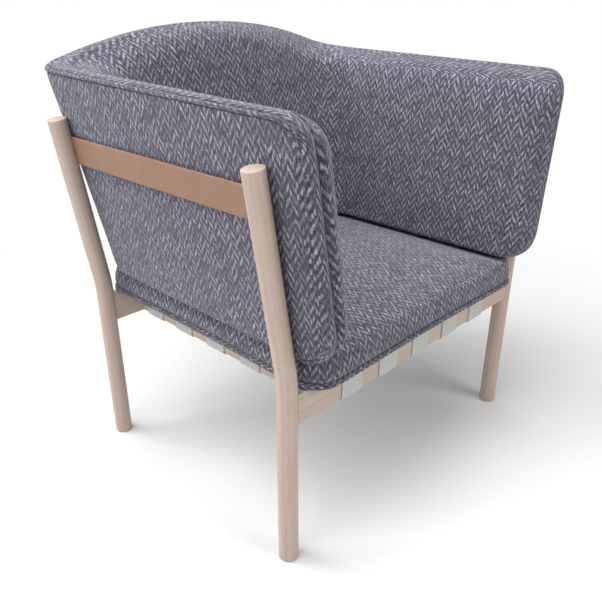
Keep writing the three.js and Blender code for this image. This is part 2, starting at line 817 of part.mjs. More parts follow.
/** A closed solid between an outer and an inner grid, joined at their edges through loops. */
function sheetSolid(outerGrid, loops, innerGrid) {
  const positions = [];
  const indices = [];
  const store = (point) => {
    positions.push(point.x, point.y, point.z);
    return positions.length / 3 - 1;
  };
  const outer = outerGrid.map((column) => column.map(store));
  const inner = innerGrid.map((column) => column.map(store));
  const edges = [gridEdge(outer), ...loops.map((loop) => loop.map(store)), gridEdge(inner)];
  for (let column = 0; column + 1 < outer.length; column += 1) {
    for (let row = 0; row + 1 < outer[0].length; row += 1) {
      const outerQuad = [
        outer[column][row], outer[column][row + 1], outer[column + 1][row + 1], outer[column + 1][row],
      ];
      const innerQuad = [
        inner[column][row], inner[column + 1][row], inner[column + 1][row + 1], inner[column][row + 1],
      ];
      for (const quad of [outerQuad, innerQuad]) {
        indices.push(quad[0], quad[1], quad[2], quad[0], quad[2], quad[3]);
      }
    }
  }
  const span = (from, to) => Math.hypot(
    positions[3 * from] - positions[3 * to],
    positions[3 * from + 1] - positions[3 * to + 1],
    positions[3 * from + 2] - positions[3 * to + 2],
  );
  for (let edge = 0; edge + 1 < edges.length; edge += 1) {
    const near = edges[edge];
    const far = edges[edge + 1];
    near.forEach((start, step) => {
      const next = (step + 1) % near.length;
      if (span(start, far[next]) < span(near[next], far[step])) {
        indices.push(start, near[next], far[next], start, far[next], far[step]);
      } else {
        indices.push(start, near[next], far[step], near[next], far[next], far[step]);
      }
    });
  }
  return indexedGeometry(positions, indices);
}

/** Outer pad: the flat outer side, the edge band and, from the sitter's side, the core's pocket. */
function outerPad() {
  return sheetSolid(
    shellGrid(weltSeat, 0),
    [
      gridEdge(shellGrid(0, weltSeat)),
      gridEdge(shellGrid(0, bandWidth - weltSeat)),
      gridEdge(shellGrid(weltSeat, bandWidth)),
      gridEdge(shellGrid(coreRimWidth, bandWidth)),
    ],
    shellGrid(coreRimWidth, foamBehindCore),
  );
}

/** Moulded core in the pocket, level with the outer pad's rim. */
function corePanel() {
  const setIn = coreRimWidth + fitGap;
  return sheetSolid(shellGrid(setIn, bandWidth - coreThickness), [], shellGrid(setIn, bandWidth));
}

/** Inner pad: its flat back lies on the core and the rim, its face is crowned. */
function innerPad() {
  return sheetSolid(shellGrid(weltSeat, bandWidth + fitGap), [], crownedGrid());
}

/** Piping round the whole panel at a set-in and depth of its middle. */
function shellWelt(setIn, depth) {
  const runs = [];
  for (let side = 0; side < weltSides; side += 1) {
    const angle = 2 * Math.PI * side / weltSides;
    const across = weltRadius * Math.cos(angle);
    const along = weltRadius * Math.sin(angle);
    runs.push(gridEdge(shellGrid(setIn + across, depth + along)));
  }
  return closedCord(runs);
}

/** Set-in of the inner piping, which lies in the groove between the two pads. */
function grooveSetIn() {
  return weltSeat + fitGap / 2 - Math.SQRT2 * (weltRadius + weltGap);
}

/** Distance from the posts' plane to where a stud at a place along the arm has bitten into the core. */
function studReach(y) {
  const coreDepth = bandWidth - coreThickness;
  const radius = cornerRadius(coreDepth);
  const straightEnd = faceRear(strapHeight) - coreDepth - radius;
  const pastEnd = THREE.MathUtils.clamp(y - straightEnd, 0, radius);
  return shellFaceOffset + coreDepth + cornerSetBack(radius - pastEnd, radius) + studInCore;
}

// Assembly

const chair = new THREE.Group();
const frame = new THREE.Group();
chair.add(frame);

const sides = [['left', 1], ['right', -1]];
const ends = [['front', -1, postLeanInwardFront], ['rear', 1, postLeanInwardRear]];
const shellCutters = [];

/** Place along Y of a post's centre line at a height. */
function postY(sideY, leanInward, height) {
  return sideY * (legSpacingY / 2 - postInward(leanInward, height));
}

for (const [side, sideX] of sides) {
  const postPlane = new THREE.Matrix4().makeTranslation(sideX * legSpacingX / 2, 0, 0)
    .multiply(postFrame(sideX, strapHeight));
  const [postFront, postRear] = ends.map(([, sideY, leanInward]) => postY(sideY, leanInward, strapHeight));
  const strapLength = postRear - postFront + 2 * strapPastPost;
  const strapMiddle = (postFront + postRear) / 2;
  const rebateFloor = strapOffAxis - strapThickness / 2 - fitGap;
  const rebate = new THREE.BoxGeometry(
    legTopDiameter, strapLength + 2 * cutOverrun, strapWidth + 2 * fitGap);
  rebate.translate(-sideX * (rebateFloor + legTopDiameter / 2), strapMiddle, 0).applyMatrix4(postPlane);
  const strapHoles = [];

  for (const [end, sideY, leanInward] of ends) {
    const place = `${end}_${side}`;
    const footX = sideX * legSpacingX / 2;
    const footY = sideY * legSpacingY / 2;
    const mortise = tenonShape(legTenonLength(), fitGap);
    mortise.translate(footX - sideX * legTenonMiddle(), footY, railMiddle);
    const cutters = [glideShape(fitGap).translate(footX, footY, 0), mortise, rebate];

    const fixingY = sideY > 0 ? postRear : postFront;
    const reach = studReach(fixingY);
    const studPlace = postPlane.clone()
      .multiply(new THREE.Matrix4().makeTranslation(0, fixingY, 0))
      .multiply(pointingOut(sideX));
    const studBore = studShape(fitGap, reach).applyMatrix4(studPlace);
    cutters.push(studBore);
    strapHoles.push(studBore);
    shellCutters.push(studBore);
    addMesh(frame, `shell_stud_${place}`, studShape(0, reach), steel).applyMatrix4(studPlace);

    [-1, 1].forEach((level, index) => {
      const screwPlace = postPlane.clone()
        .multiply(new THREE.Matrix4().makeTranslation(
          -sideX * (strapOffAxis + strapThickness / 2), fixingY, level * strapScrewSpacing / 2))
        .multiply(pointingOut(sideX));
      const screwHole = screwShape(fitGap).applyMatrix4(screwPlace);
      cutters.push(screwHole);
      strapHoles.push(screwHole);
      addMesh(frame, `strap_screw_${place}_${index + 1}`, screwShape(0), steel).applyMatrix4(screwPlace);
    });

    const leg = bentLeg(sideX, sideY, leanInward).translate(footX, footY, 0);
    addMesh(frame, `leg_${place}`, cut(leg, cutters), beech);
    addMesh(frame, `glide_${place}`, glideShape(0), nylon).position.set(footX, footY, 0);
    const legTenon = addMesh(frame, `tenon_leg_${place}`, tenonShape(legTenonLength(), 0), tenonWood);
    legTenon.position.set(footX - sideX * legTenonMiddle(), footY, railMiddle);
    const sideTenon = addMesh(frame, `tenon_side_${place}`, tenonShape(sideTenonLength(), 0), tenonWood);
    sideTenon.rotation.z = Math.PI / 2;
    sideTenon.position.set(sideX * sideRailX, footY - sideY * sideTenonMiddle(), railMiddle);
  }

  const strap = new THREE.BoxGeometry(strapThickness, strapLength, strapWidth);
  strap.translate(-sideX * strapOffAxis, strapMiddle, 0).applyMatrix4(postPlane);
  addMesh(frame, `arm_strap_${side}`, cut(strap, strapHoles), leather);

  const rail = addMesh(frame, `rail_${side}`, sideRail(), beech);
  rail.position.set(sideX * sideRailX, 0, railMiddle);
}

for (const [end, sideY] of ends) {
  const rail = addMesh(frame, `rail_${end}`, crossRail(-sideY), beech);
  rail.position.set(0, sideY * legSpacingY / 2, railMiddle);
}

const middleStrap = (webbingCount - 1) / 2;
const clearSpanX = 2 * sideRailX - railThickness - 2 * webbingRailClearX;
const clearSpanY = legSpacingY - railThickness - 2 * webbingRailClearY;
const webbingPitchX = (clearSpanX - webbingWidth) / (webbingCount - 1);
const webbingPitchY = (clearSpanY - webbingWidth) / (webbingCount - 1);
const longPlaces = Array.from({ length: webbingCount }, (_, index) => (index - middleStrap) * webbingPitchX);
const crossPlaces = Array.from({ length: webbingCount }, (_, index) => (
  (index - middleStrap) * webbingPitchY + webbingOffsetY
));
const longAxes = new THREE.Matrix4().makeBasis(
  new THREE.Vector3(0, 1, 0), new THREE.Vector3(0, 0, 1), new THREE.Vector3(1, 0, 0));
const crossAxes = new THREE.Matrix4().makeBasis(
  new THREE.Vector3(1, 0, 0), new THREE.Vector3(0, 0, 1), new THREE.Vector3(0, -1, 0));
longPlaces.forEach((x, index) => {
  const span = legSpacingY + railThickness;
  const strap = webbingStrap(span, crossPlaces, index % 2 === 0).applyMatrix4(longAxes);
  addMesh(frame, `webbing_long_${index + 1}`, strap, webbingCloth).position.x = x;
});
crossPlaces.forEach((y, index) => {
  const span = 2 * sideRailX + railThickness;
  const strap = webbingStrap(span, longPlaces, index % 2 === 1).applyMatrix4(crossAxes);
  addMesh(frame, `webbing_cross_${index + 1}`, strap, webbingCloth).position.y = y;
});

addMesh(frame, 'seat_cushion', cushionShape(), wool);
addMesh(frame, 'cushion_welt', cushionWelt(), piping);

addMesh(frame, 'shell_outer_pad', cut(outerPad(), shellCutters), wool);
addMesh(frame, 'shell_core', cut(corePanel(), shellCutters), plywood);
addMesh(frame, 'shell_inner_pad', innerPad(), wool);
addMesh(frame, 'shell_outer_welt', shellWelt(-shellWeltStandOff, -shellWeltStandOff), piping);
addMesh(frame, 'shell_inner_welt', shellWelt(grooveSetIn(), bandWidth + fitGap / 2), piping);

const outline = new THREE.Box3().setFromObject(frame);
frame.position.y = -(outline.min.y + outline.max.y) / 2;

export default chair;
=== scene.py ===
"""Easy chair: a U-shaped shell in herringbone wool on a light beech frame."""

import math

import bmesh
import bpy
import numpy as np
from mathutils import Matrix, Vector

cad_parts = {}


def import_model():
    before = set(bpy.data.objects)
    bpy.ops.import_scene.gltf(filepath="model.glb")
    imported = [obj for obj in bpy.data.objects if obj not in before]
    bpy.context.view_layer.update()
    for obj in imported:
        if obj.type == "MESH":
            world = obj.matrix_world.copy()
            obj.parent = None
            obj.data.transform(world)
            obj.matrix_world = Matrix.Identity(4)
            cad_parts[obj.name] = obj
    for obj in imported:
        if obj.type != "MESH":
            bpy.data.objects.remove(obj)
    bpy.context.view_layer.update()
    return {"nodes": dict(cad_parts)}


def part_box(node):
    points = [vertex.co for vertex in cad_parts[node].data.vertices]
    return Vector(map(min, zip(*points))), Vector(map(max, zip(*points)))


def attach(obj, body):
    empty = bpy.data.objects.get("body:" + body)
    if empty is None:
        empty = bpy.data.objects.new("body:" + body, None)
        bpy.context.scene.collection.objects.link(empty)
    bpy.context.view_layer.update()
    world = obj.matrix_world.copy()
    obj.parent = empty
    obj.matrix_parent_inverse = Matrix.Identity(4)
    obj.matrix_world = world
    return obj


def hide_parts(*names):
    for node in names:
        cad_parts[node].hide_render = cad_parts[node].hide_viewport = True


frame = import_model()

# Units: shapes are worked out in millimetres and put into the meshes in metres
MM = 0.001
TINY = 1e-9
FAR_AWAY = 1e4
LEAST_DISTANCE = 1e-6

# Points of one piece that are nearer than this are one, on most pieces and on thin strips
MERGE = 0.02
THIN_MERGE = 0.005


def node_box(name):
    """Lowest and highest corner of a node of the frame, in millimetres."""
    low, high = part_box(name)
    return np.array(low) / MM, np.array(high) / MM


def node_middle(name, axis):
    """Middle of a node of the frame along one axis, in millimetres."""
    low, high = node_box(name)
    return (low[axis] + high[axis]) / 2


# Legs
LEG_X = node_middle("glide_front_left", 0)
FRONT_Y = node_middle("glide_front_left", 1)
REAR_Y = node_middle("glide_rear_left", 1)
MIDDLE_Y = (FRONT_Y + REAR_Y) / 2
LEG_SPACING_Y = REAR_Y - FRONT_Y
LEG_FOOT_DIAMETER = 33
LEG_TOP_DIAMETER = 32
LEG_EDGE_RADIUS = 1.6
LEG_BEND_HEIGHT = 342
LEG_BEND_RADIUS = 260
POST_TOP_HEIGHT = 659
POST_LEAN_OUT = 45
POST_LEAN_INWARD = {"front": 8, "rear": 4}
GLIDE_PROUD = 1
POST_RISE = POST_TOP_HEIGHT - LEG_BEND_HEIGHT
LEAN_ANGLE = math.atan2(POST_LEAN_OUT, POST_RISE)
LEG_SIDES = 48
LEG_EDGE_STEPS = 5
LEG_FOOT_STEPS = 7
LEG_BEND_STEPS = 16
LEG_POST_STEPS = 13

# Rails
RAIL_HEIGHT = 55
RAIL_THICKNESS = 24
RAIL_BOTTOM = node_box("rail_front")[0][2]
RAIL_TOP = RAIL_BOTTOM + RAIL_HEIGHT
RAIL_EDGE_RADIUS = 3
RAIL_EDGE_STEPS = 4
RAIL_SHARP_ANGLE = math.radians(40)
ALONG_THE_RAIL = 0.9

# Webbing
WEBBING_WIDTH = 50
WEBBING_THICKNESS = 2
WEBBING_COUNT = 5
WEBBING_TUCK = 16
FIT_GAP = 0.3
WEBBING_LEVEL = RAIL_TOP + FIT_GAP + WEBBING_THICKNESS / 2
WEBBING_SWING = (WEBBING_THICKNESS + FIT_GAP) / 2
WEBBING_STEP = 4.0
WRAP_STEPS = 7
TUCK_STEPS = 3

# Steps across the flat of a strap, and round its edges
STRIP_FLAT_STEPS = 8
WEBBING_EDGE_STEPS = 4
STRAP_EDGE_STEPS = 6

# Leather straps
STRAP_WIDTH = 49
STRAP_THICKNESS = 3
STRAP_HEIGHT = 602.5
STRAP_OFF_AXIS = 12
STRAP_PAST_POST = 8
STRAP_POINTS = 60

# Seat cushion
CUSHION_LOW, CUSHION_HIGH = node_box("seat_cushion")
CUSHION_BOTTOM = CUSHION_LOW[2]
CUSHION_HALF_WIDTH = CUSHION_HIGH[0]
CUSHION_FRONT = CUSHION_LOW[1]
CUSHION_REAR = CUSHION_HIGH[1]
CUSHION_MIDDLE_Y = (CUSHION_FRONT + CUSHION_REAR) / 2
CUSHION_SIDE_HEIGHT = 48
CUSHION_SIDE_SLOPE = 5
CUSHION_SIDE_BULGE = 2.5
CUSHION_EDGE_RADIUS = 8
CUSHION_CORNER_RADIUS = 46
CUSHION_DRAW_IN = 3.5
CUSHION_CROWN = 20
CUSHION_CROWN_RUN = 62
CUSHION_REST_SIDES = 46
CUSHION_REST_BACK = 66
CUSHION_TOP_EDGE = CUSHION_BOTTOM + CUSHION_SIDE_HEIGHT
CUSHION_CORNER_STEPS = 16
CUSHION_SIDE_STEPS = 60
CUSHION_RISE_STEPS = 8
CUSHION_EDGE_STEPS = 6

# Piping
WELT_RADIUS = 3
WELT_SEAT = 6.5
WELT_GAP = 0.5
INNER_WELT_RADIUS = 1.8
WELT_SIDES = 14
WELT_WRAP = 1.3
CUSHION_WELT_RADIUS = 4.5
CUSHION_WELT_SEAT = 9.5
CUSHION_WELT_GAP = 0.1

# Shell
SHELL_FRONT_OVERHANG = 67
SHELL_STAND_OFF = 2.6
SHELL_BACK_SET_IN = 9
ARM_FRONT = FRONT_Y - SHELL_FRONT_OVERHANG
SHELL_FRONT_LEAN = 10
SHELL_FACE_OFFSET = LEG_TOP_DIAMETER / 2 + SHELL_STAND_OFF
SHELL_BACK_FOOT = REAR_Y - SHELL_BACK_SET_IN
SHELL_RECLINE = math.radians(10)
SHELL_OUTER_CORNER = 37
SHELL_INNER_CORNER = 75
ARM_TOP_REAR = 734
ARM_TOP_FRONT = 721
ARM_TOP_CORNER = 45
ARM_BOTTOM_CORNER = 58
BACK_RISE = 60
BACK_ARCH_HALF_WIDTH = 362
ARCH_END_SHARE = 0.12
ARCH_POWER = 2.15
BAND_WIDTH = 30
CORE_THICKNESS = 12
CORE_RIM = 16
PAD_CROWN = 30
PAD_CROWN_RUN = 30
BLEND_POWER = 4
PAD_FACE_DEPTH = BAND_WIDTH + FIT_GAP + WELT_SEAT
GROOVE_DEPTH = BAND_WIDTH + FIT_GAP / 2
TOP_FALL = 0.19

# Columns of the shell's grid stand closer together towards the arms' front, by this power
ARM_COLUMN_POWER = 1.35

# Height at which the places on the shell's cloth are true along it
CLOTH_LEVEL = 560


# Meshes


def keep_grain(mesh, places):
    """Keeps each point's place in the straight piece of wood, before it was bent, in metres."""
    attribute = mesh.attributes.new("grain", "FLOAT_VECTOR", "POINT")
    attribute.data.foreach_set("vector", (np.asarray(places, float) * MM).ravel())


def mesh_piece(name, points, quads, uv=None, merge=0.0, free=None, grain=None):
    """A mesh object from points in millimetres and quads of their numbers. uv holds one place on the
    cloth, in millimetres, for each corner of each quad, and is kept in metres. free says how far each
    point may follow when the cover swells, and grain is its place in the wood."""
    mesh = bpy.data.meshes.new(name)
    mesh.from_pydata((np.asarray(points) * MM).tolist(), [], np.asarray(quads).tolist())
    if uv is not None:
        layer = mesh.uv_layers.new(name="cloth")
        layer.data.foreach_set("uv", (np.asarray(uv, float) * MM).ravel())
    if free is not None:
        mesh.attributes.new("free", "FLOAT", "POINT").data.foreach_set("value", free)
    if grain is not None:
        keep_grain(mesh, grain)
    piece = bpy.data.objects.new(name, mesh)
    bpy.context.scene.collection.objects.link(piece)
    work = bmesh.new()
    work.from_mesh(mesh)
    if merge:
        bmesh.ops.remove_doubles(work, verts=work.verts, dist=merge * MM)
    bmesh.ops.recalc_face_normals(work, faces=work.faces)
    work.to_mesh(mesh)
    work.free()
    mesh.shade_smooth()
    return piece


def grid_quads(rows, columns, closed_rows=False, closed_columns=False):
    """Quads of a grid of rows times columns points, numbered row by row."""
    row = np.arange(rows if closed_rows else rows - 1)[:, None]
    column = np.arange(columns if closed_columns else columns - 1)[None, :]
    next_row = (row + 1) % rows
    next_column = (column + 1) % columns
    corners = [
        row * columns + column,
        row * columns + next_column,
        next_row * columns + next_column,
        next_row * columns + column,
    ]
    return np.stack([np.broadcast_to(c, corners[0].shape) for c in corners], -1).reshape(-1, 4)


class Panels:
    """Panels of cloth, each a grid with its own places on the cloth, sewn into one closed mesh."""

    def __init__(self):
        self.points = []
        self.quads = []
        self.uv = []
        self.free = []
        self.count = 0

    def add(self, points, cloth, free=0.0):
        """Adds a grid of points, rows by columns by 3, and its places on the cloth, rows by columns by 2.
        free is 0 where the cover is held and 1 where it may swell."""
        rows, columns = points.shape[:2]
        quads = grid_quads(rows, columns)
        self.points.append(points.reshape(-1, 3))
        self.uv.append(cloth.reshape(-1, 2)[quads.ravel()])
        self.quads.append(quads + self.count)
        self.free.append(np.broadcast_to(free, (rows, columns)).ravel())
        self.count += rows * columns

    def add_all(self, grids):
        """Adds several grids, each with its places on the cloth."""
        for grid in grids:
            self.add(*grid)

    def piece(self, name, merge=MERGE):
        """The panels as one mesh object, with the points along their seams merged."""
        return mesh_piece(
            name,
            np.concatenate(self.points),
            np.concatenate(self.quads),
            np.concatenate(self.uv),
            merge,
            np.concatenate(self.free),
        )


def travelled(points, axis):
    """Distance travelled along one axis of a grid of points, from its first line."""
    steps = np.linalg.norm(np.diff(points, axis=axis), axis=-1)
    return np.insert(np.cumsum(steps, axis=axis), 0, 0, axis=axis)


# Shell


def face_half_width(height):
    """Half width of the shell's outer face at a height: parallel to the leaning posts."""
    out = (height - LEG_BEND_HEIGHT) * math.tan(LEAN_ANGLE)
    return LEG_X + out - SHELL_FACE_OFFSET / math.cos(LEAN_ANGLE)


def face_rear(height):
    """The back's outer face at a height: it leans back from its foot on the cushion."""
    return SHELL_BACK_FOOT + (height - CUSHION_TOP_EDGE) * math.tan(SHELL_RECLINE)


def corner_radius(depth):
    """Plan radius of the rear corners, wider towards the sitter."""
    share = depth / (PAD_FACE_DEPTH + PAD_CROWN)
    return SHELL_OUTER_CORNER + (SHELL_INNER_CORNER - SHELL_OUTER_CORNER) * share


def shell_columns(arm_steps, corner_steps, back_steps):
    """Columns from the left arm's front round the back to the right arm's front, as four rows:
    side, share along the arm, share round the corner, and share across the back."""
    arm = (np.arange(arm_steps) / arm_steps) ** ARM_COLUMN_POWER
    corner = np.arange(corner_steps) / corner_steps
    ones = np.ones
    left = np.concatenate([
        np.stack([-ones(arm_steps), arm, 0 * arm, ones(arm_steps)]),
        np.stack([-ones(corner_steps), ones(corner_steps), corner, ones(corner_steps)]),
    ], 1)
    across = np.linspace(-1, 1, back_steps + 1)
    back = np.stack([np.sign(across + TINY), 0 * across + 1, 0 * across + 1, np.abs(across)])
    right = left[:, ::-1] * np.array([-1, 1, 1, 1])[:, None]
    return np.concatenate([left, back, right], 1)


STRAIGHT_X = face_half_width(ARM_TOP_REAR) - SHELL_OUTER_CORNER
STRAIGHT_Y = face_rear(ARM_TOP_REAR) - SHELL_OUTER_CORNER
WELT_STAND_OFF = (WELT_RADIUS + WELT_GAP - WELT_SEAT / math.sqrt(2)) / math.sqrt(2)
SHELL_BOTTOM = CUSHION_TOP_EDGE + FIT_GAP + WELT_STAND_OFF + WELT_RADIUS


def column_top(columns):
    """Top edge over a column: the arm's line and, across the back, an arch that runs out into it.
    The arch is (1 - |s / half width| ** power), eased to nothing at its ends."""
    side, arm, corner, across = columns
    place = ARM_FRONT + (STRAIGHT_Y - ARM_FRONT) * arm
    distance = STRAIGHT_X * across + SHELL_OUTER_CORNER * (1 - corner) * math.pi / 2
    distance = distance + STRAIGHT_Y - place
    inside = 1 - (distance / BACK_ARCH_HALF_WIDTH) ** ARCH_POWER
    arch = (inside + np.hypot(inside, ARCH_END_SHARE)) / 2
    along = (place - ARM_FRONT) / (STRAIGHT_Y - ARM_FRONT)
    return ARM_TOP_FRONT + (ARM_TOP_REAR - ARM_TOP_FRONT) * along + BACK_RISE * arch


FRONT_TOP = float(column_top(np.array([1.0, 0.0, 0.0, 1.0])))


def corner_set_back(height, radius):
    """Set-back of a rounded corner's edge at a height inside the corner."""
    inside = np.clip(radius - height, 0, radius)
    return radius - np.sqrt(np.maximum(radius**2 - inside**2, 0))


def shell_rows(corner_steps, middle_steps):
    """Heights of the rows as shares of the front edge, closer together in its rounded corners."""
    height = FRONT_TOP - SHELL_BOTTOM
    turn = np.linspace(0, math.pi / 2, corner_steps + 1)
    low = ARM_BOTTOM_CORNER * (1 - np.cos(turn))
    high = height - ARM_TOP_CORNER * (1 - np.cos(turn[::-1]))
    middle = np.linspace(low[-1], high[0], middle_steps + 1)[1:-1]
    return np.concatenate([low, middle, high]) / height


def shell_points(columns, rows, set_in, depth, forward=0):
    """The shell's surface at a set-in from its edges and a depth from its outer face, columns by rows.
    Seen from above it is a U of two straight arms, two round corners and a straight back, and its
    front edge leans and is rounded at the top and the bottom. Its top falls towards the sitter, by
    TOP_FALL times the depth. set_in, depth and forward, a push to the front, may differ by point."""
    side, arm, corner, across = (value[:, None] for value in columns)
    share = rows[None, :]
    front_height = FRONT_TOP - SHELL_BOTTOM - 2 * set_in
    row_height = front_height * share
    start = ARM_FRONT + set_in + SHELL_FRONT_LEAN * share
    start = start + corner_set_back(row_height, ARM_BOTTOM_CORNER - set_in)
    start = start + corner_set_back(front_height - row_height, ARM_TOP_CORNER - set_in) - forward
    bottom = SHELL_BOTTOM + set_in
    edge = bottom + share * (column_top(columns)[:, None] - set_in - bottom)
    tilt = LEAN_ANGLE + (SHELL_RECLINE - LEAN_ANGLE) * corner
    fall = TOP_FALL * np.maximum(depth - WELT_SEAT, 0)
    height = edge + share * (depth * np.sin(tilt) - share * fall)
    radius = corner_radius(depth)
    centre_x = face_half_width(height) - depth / math.cos(LEAN_ANGLE) - radius
    centre_y = face_rear(height) - depth / math.cos(SHELL_RECLINE) - radius
    turn = corner * math.pi / 2
    x = side * (centre_x * across + radius * np.cos(turn))
    y = start + (centre_y - start) * arm + radius * np.sin(turn)
    return np.stack(np.broadcast_arrays(x, y, height), -1)


def soft_smallest(distances):
    """Smallest of several distances, blended so that no crease shows."""
    safe = np.maximum(np.stack(distances), LEAST_DISTANCE)
    return (safe**-BLEND_POWER).sum(0) ** (-1 / BLEND_POWER)


def from_the_front(columns, rows):
    """Distance of each point on an arm from the shell's front edge, in its own row."""
    points = shell_points(columns, rows, 0, PAD_FACE_DEPTH)
    half = len(columns[0]) // 2
    starts = np.concatenate([
        np.repeat(points[:1, :, 1], half, 0),
        np.repeat(points[-1:, :, 1], len(columns[0]) - half, 0),
    ])
    return np.where((columns[2] == 0)[:, None], points[..., 1] - starts, FAR_AWAY)


def crown_share(columns, rows, run, quicker_low=1.0):
    """0 on the panel's edges and 1 from a run inside them, seen square to the panel. At the bottom
    the run is quicker_low times shorter."""
    points = shell_points(columns, rows, 0, PAD_FACE_DEPTH)
    from_top = points[:, -1:, 2] - points[..., 2]
    from_bottom = (points[..., 2] - points[:, :1, 2]) * quicker_low
    from_front = from_the_front(columns, rows)
    return np.minimum(soft_smallest([from_top, from_bottom, from_front]) / run, 1)


def cloth_parts(points, columns):
    """Places on the cloth for a grid of the shell, as three parts that meet in the middles of the
    corners: each is a slice of columns with its u. u runs round the U, level. On an arm it is Y plus
    a constant and runs on into the corner, and across the back it is the distance from the middle,
    so that the columns of the weave stand upright everywhere."""
    level = points.copy()
    level[..., 2] = 0
    along = travelled(level, 0)
    middle = len(columns[0]) // 2
    along = along - along[middle : middle + 1]
    row = int(np.argmin(np.abs(points[middle, :, 2] - CLOTH_LEVEL)))
    first_arm = int((columns[2][:middle] == 0).sum()) - 1
    seam = first_arm + (int((columns[2][:middle] < 1).sum()) - first_arm) // 2
    last = len(columns[0]) - 1
    parts = []
    for edge, part, sign in (
        (first_arm, slice(0, seam + 1), 1),
        (middle, slice(seam, last - seam + 1), 0),
        (last - first_arm, slice(last - seam, last + 1), -1),
    ):
        back = (points[edge, :, 1] - points[edge, row, 1]) * sign
        shift = (along[edge, row] - along[edge] + back) * abs(sign)
        parts.append((part, along[part] + shift[None, :]))
    return parts


def shell_cloth(columns, rows, set_in, depth, forward=0, free=0.0):
    """The shell's face as grids of points with their places on the cloth. v is the height, made longer
    by the face's lean and by its crown."""
    points = shell_points(columns, rows, set_in, depth, forward)
    tilt = LEAN_ANGLE + (SHELL_RECLINE - LEAN_ANGLE) * columns[2][:, None]
    rise = np.diff(points[..., 2], axis=1) / np.cos(tilt)
    deep = np.broadcast_to(np.asarray(depth, float), points.shape[:2])
    steps = np.hypot(rise, np.diff(deep, axis=1))
    up = np.insert(np.cumsum(steps, axis=1), 0, 0, axis=1)
    row = len(rows) // 2
    level = points[:, row : row + 1, 2] / math.cos(LEAN_ANGLE)
    up = up - up[:, row : row + 1] + level
    free = np.broadcast_to(free, up.shape)
    return [
        (points[part], np.stack([round_it, up[part]], -1), free[part])
        for part, round_it in cloth_parts(points, columns)
    ]


def grid_edge(grid):
    """The edge of a grid as one loop that ends where it starts: bottom, up, top and down."""
    return np.concatenate([grid[:-1, 0], grid[-1, :-1], grid[:0:-1, -1], grid[0, ::-1]])


def front_shares(rows):
    """1 on the straight part of the front edge, eased to 0 round its rounded corners by a cosine."""
    height = FRONT_TOP - SHELL_BOTTOM
    low = np.clip(rows * height / ARM_BOTTOM_CORNER, 0, 1)
    high = np.clip((1 - rows) * height / ARM_TOP_CORNER, 0, 1)
    return (1 - np.cos(math.pi * np.minimum(low, high))) / 2


def loop_shares(columns, rows):
    """For each point on the edge of the grid, its shares of the sections of the top edge, the front
    edge and the bottom edge. They add up to 1."""
    at_front = np.zeros((len(columns[0]), len(rows)))
    at_front[0] = at_front[-1] = front_shares(rows)
    at_bottom = np.zeros_like(at_front)
    at_bottom[:, 0] = 1
    at_front = grid_edge(at_front)
    at_low = grid_edge(at_bottom) * (1 - at_front)
    return 1 - at_front - at_low, at_front, at_low


def edge_loop(columns, rows, set_in, depth, forward):
    """One line round the edge of the shell. Its set-in, depth and push forward differ along it."""
    grids = []
    for value in (set_in, depth, forward):
        grid = np.zeros((len(columns[0]), len(rows)))
        low, front, high, back = np.split(value, np.cumsum([
            len(columns[0]) - 1, len(rows) - 1, len(columns[0]) - 1,
        ]))
        grid[:-1, 0] = low
        grid[-1, :-1] = front
        grid[:0:-1, -1] = high
        grid[0, ::-1] = back
        grids.append(grid)
    return grid_edge(shell_points(columns, rows, *grids))


def edge_panel(columns, rows, top, front, bottom):
    """A strip of cloth round the whole panel. Its section is a list of set-in, depth and, where there
    is any, push forward for each line across it, blended from the top edge's to the front edge's and
    the bottom edge's. u runs across the strip and v along it."""
    shares = loop_shares(columns, rows)
    sections = [np.array([(*point, 0)[:3] for point in section], float) for section in (top, front, bottom)]
    loops = np.stack([
        edge_loop(columns, rows, *(
            sum(share * section[line, k] for share, section in zip(shares, sections)) for k in range(3)
        ))
        for line in range(len(top))
    ])
    across = travelled(loops, 0).mean(1, keepdims=True) + np.zeros(loops.shape[:2])
    along = travelled(loops, 1).mean(0, keepdims=True) + np.zeros(loops.shape[:2])
    return loops, np.stack([across, along], -1)


FINE = shell_columns(arm_steps=48, corner_steps=12, back_steps=48)
FINE_ROWS = shell_rows(corner_steps=10, middle_steps=24)
ARM_COLUMNS = int((FINE[2][: len(FINE[2]) // 2] == 0).sum())
OUTER_ROLL = 1.6
OUTER_ROLL_RUN = 14
FRONT_ROLL = 19
FRONT_SWELL = 5
CROWN_POWER = 1.5
BAND_ON_ROLL = 17
SWELL_RUN = 60
ROLL_AT_SEAT = FRONT_ROLL - math.sqrt(FRONT_ROLL**2 - (FRONT_ROLL - WELT_SEAT) ** 2)
INNER_RIM = WELT_SEAT + 1
POCKET_DEPTH = BAND_WIDTH - CORE_THICKNESS - FIT_GAP

# Sections of the pads' edges, as set-in, depth and push forward in millimetres. They start on the
# outer side, at the piping's seat, and end in the inner groove
OUTER_TOP_SECTION = [
    (6.5, OUTER_ROLL), (6.3, 4.2), (5.0, 6.2), (1.8, 6.9), (-1.8, 7.6), (-3.8, 10.4), (-4.6, 16),
    (-4.2, 24), (-3.2, 30),
]
OUTER_FRONT_SECTION = [
    (6.5, ROLL_AT_SEAT), (4.4, 8.4), (2.7, 11.2), (1.2, 14.6), (0.3, 18.5), (0.5, 22), (1.6, 25),
    (3.2, 27.8), (5, 30),
]
OUTER_BOTTOM_SECTION = [
    (6.5, OUTER_ROLL), (3.5, OUTER_ROLL), (1.4, 1.9), (0.3, 3), (0, 7), (0, 13), (0, 20), (0, 26), (0.5, 30),
]
INNER_TOP_SECTION = [(-3.2, 30.3), (-3, 31.4), (-2, 34), (0, PAD_FACE_DEPTH)]
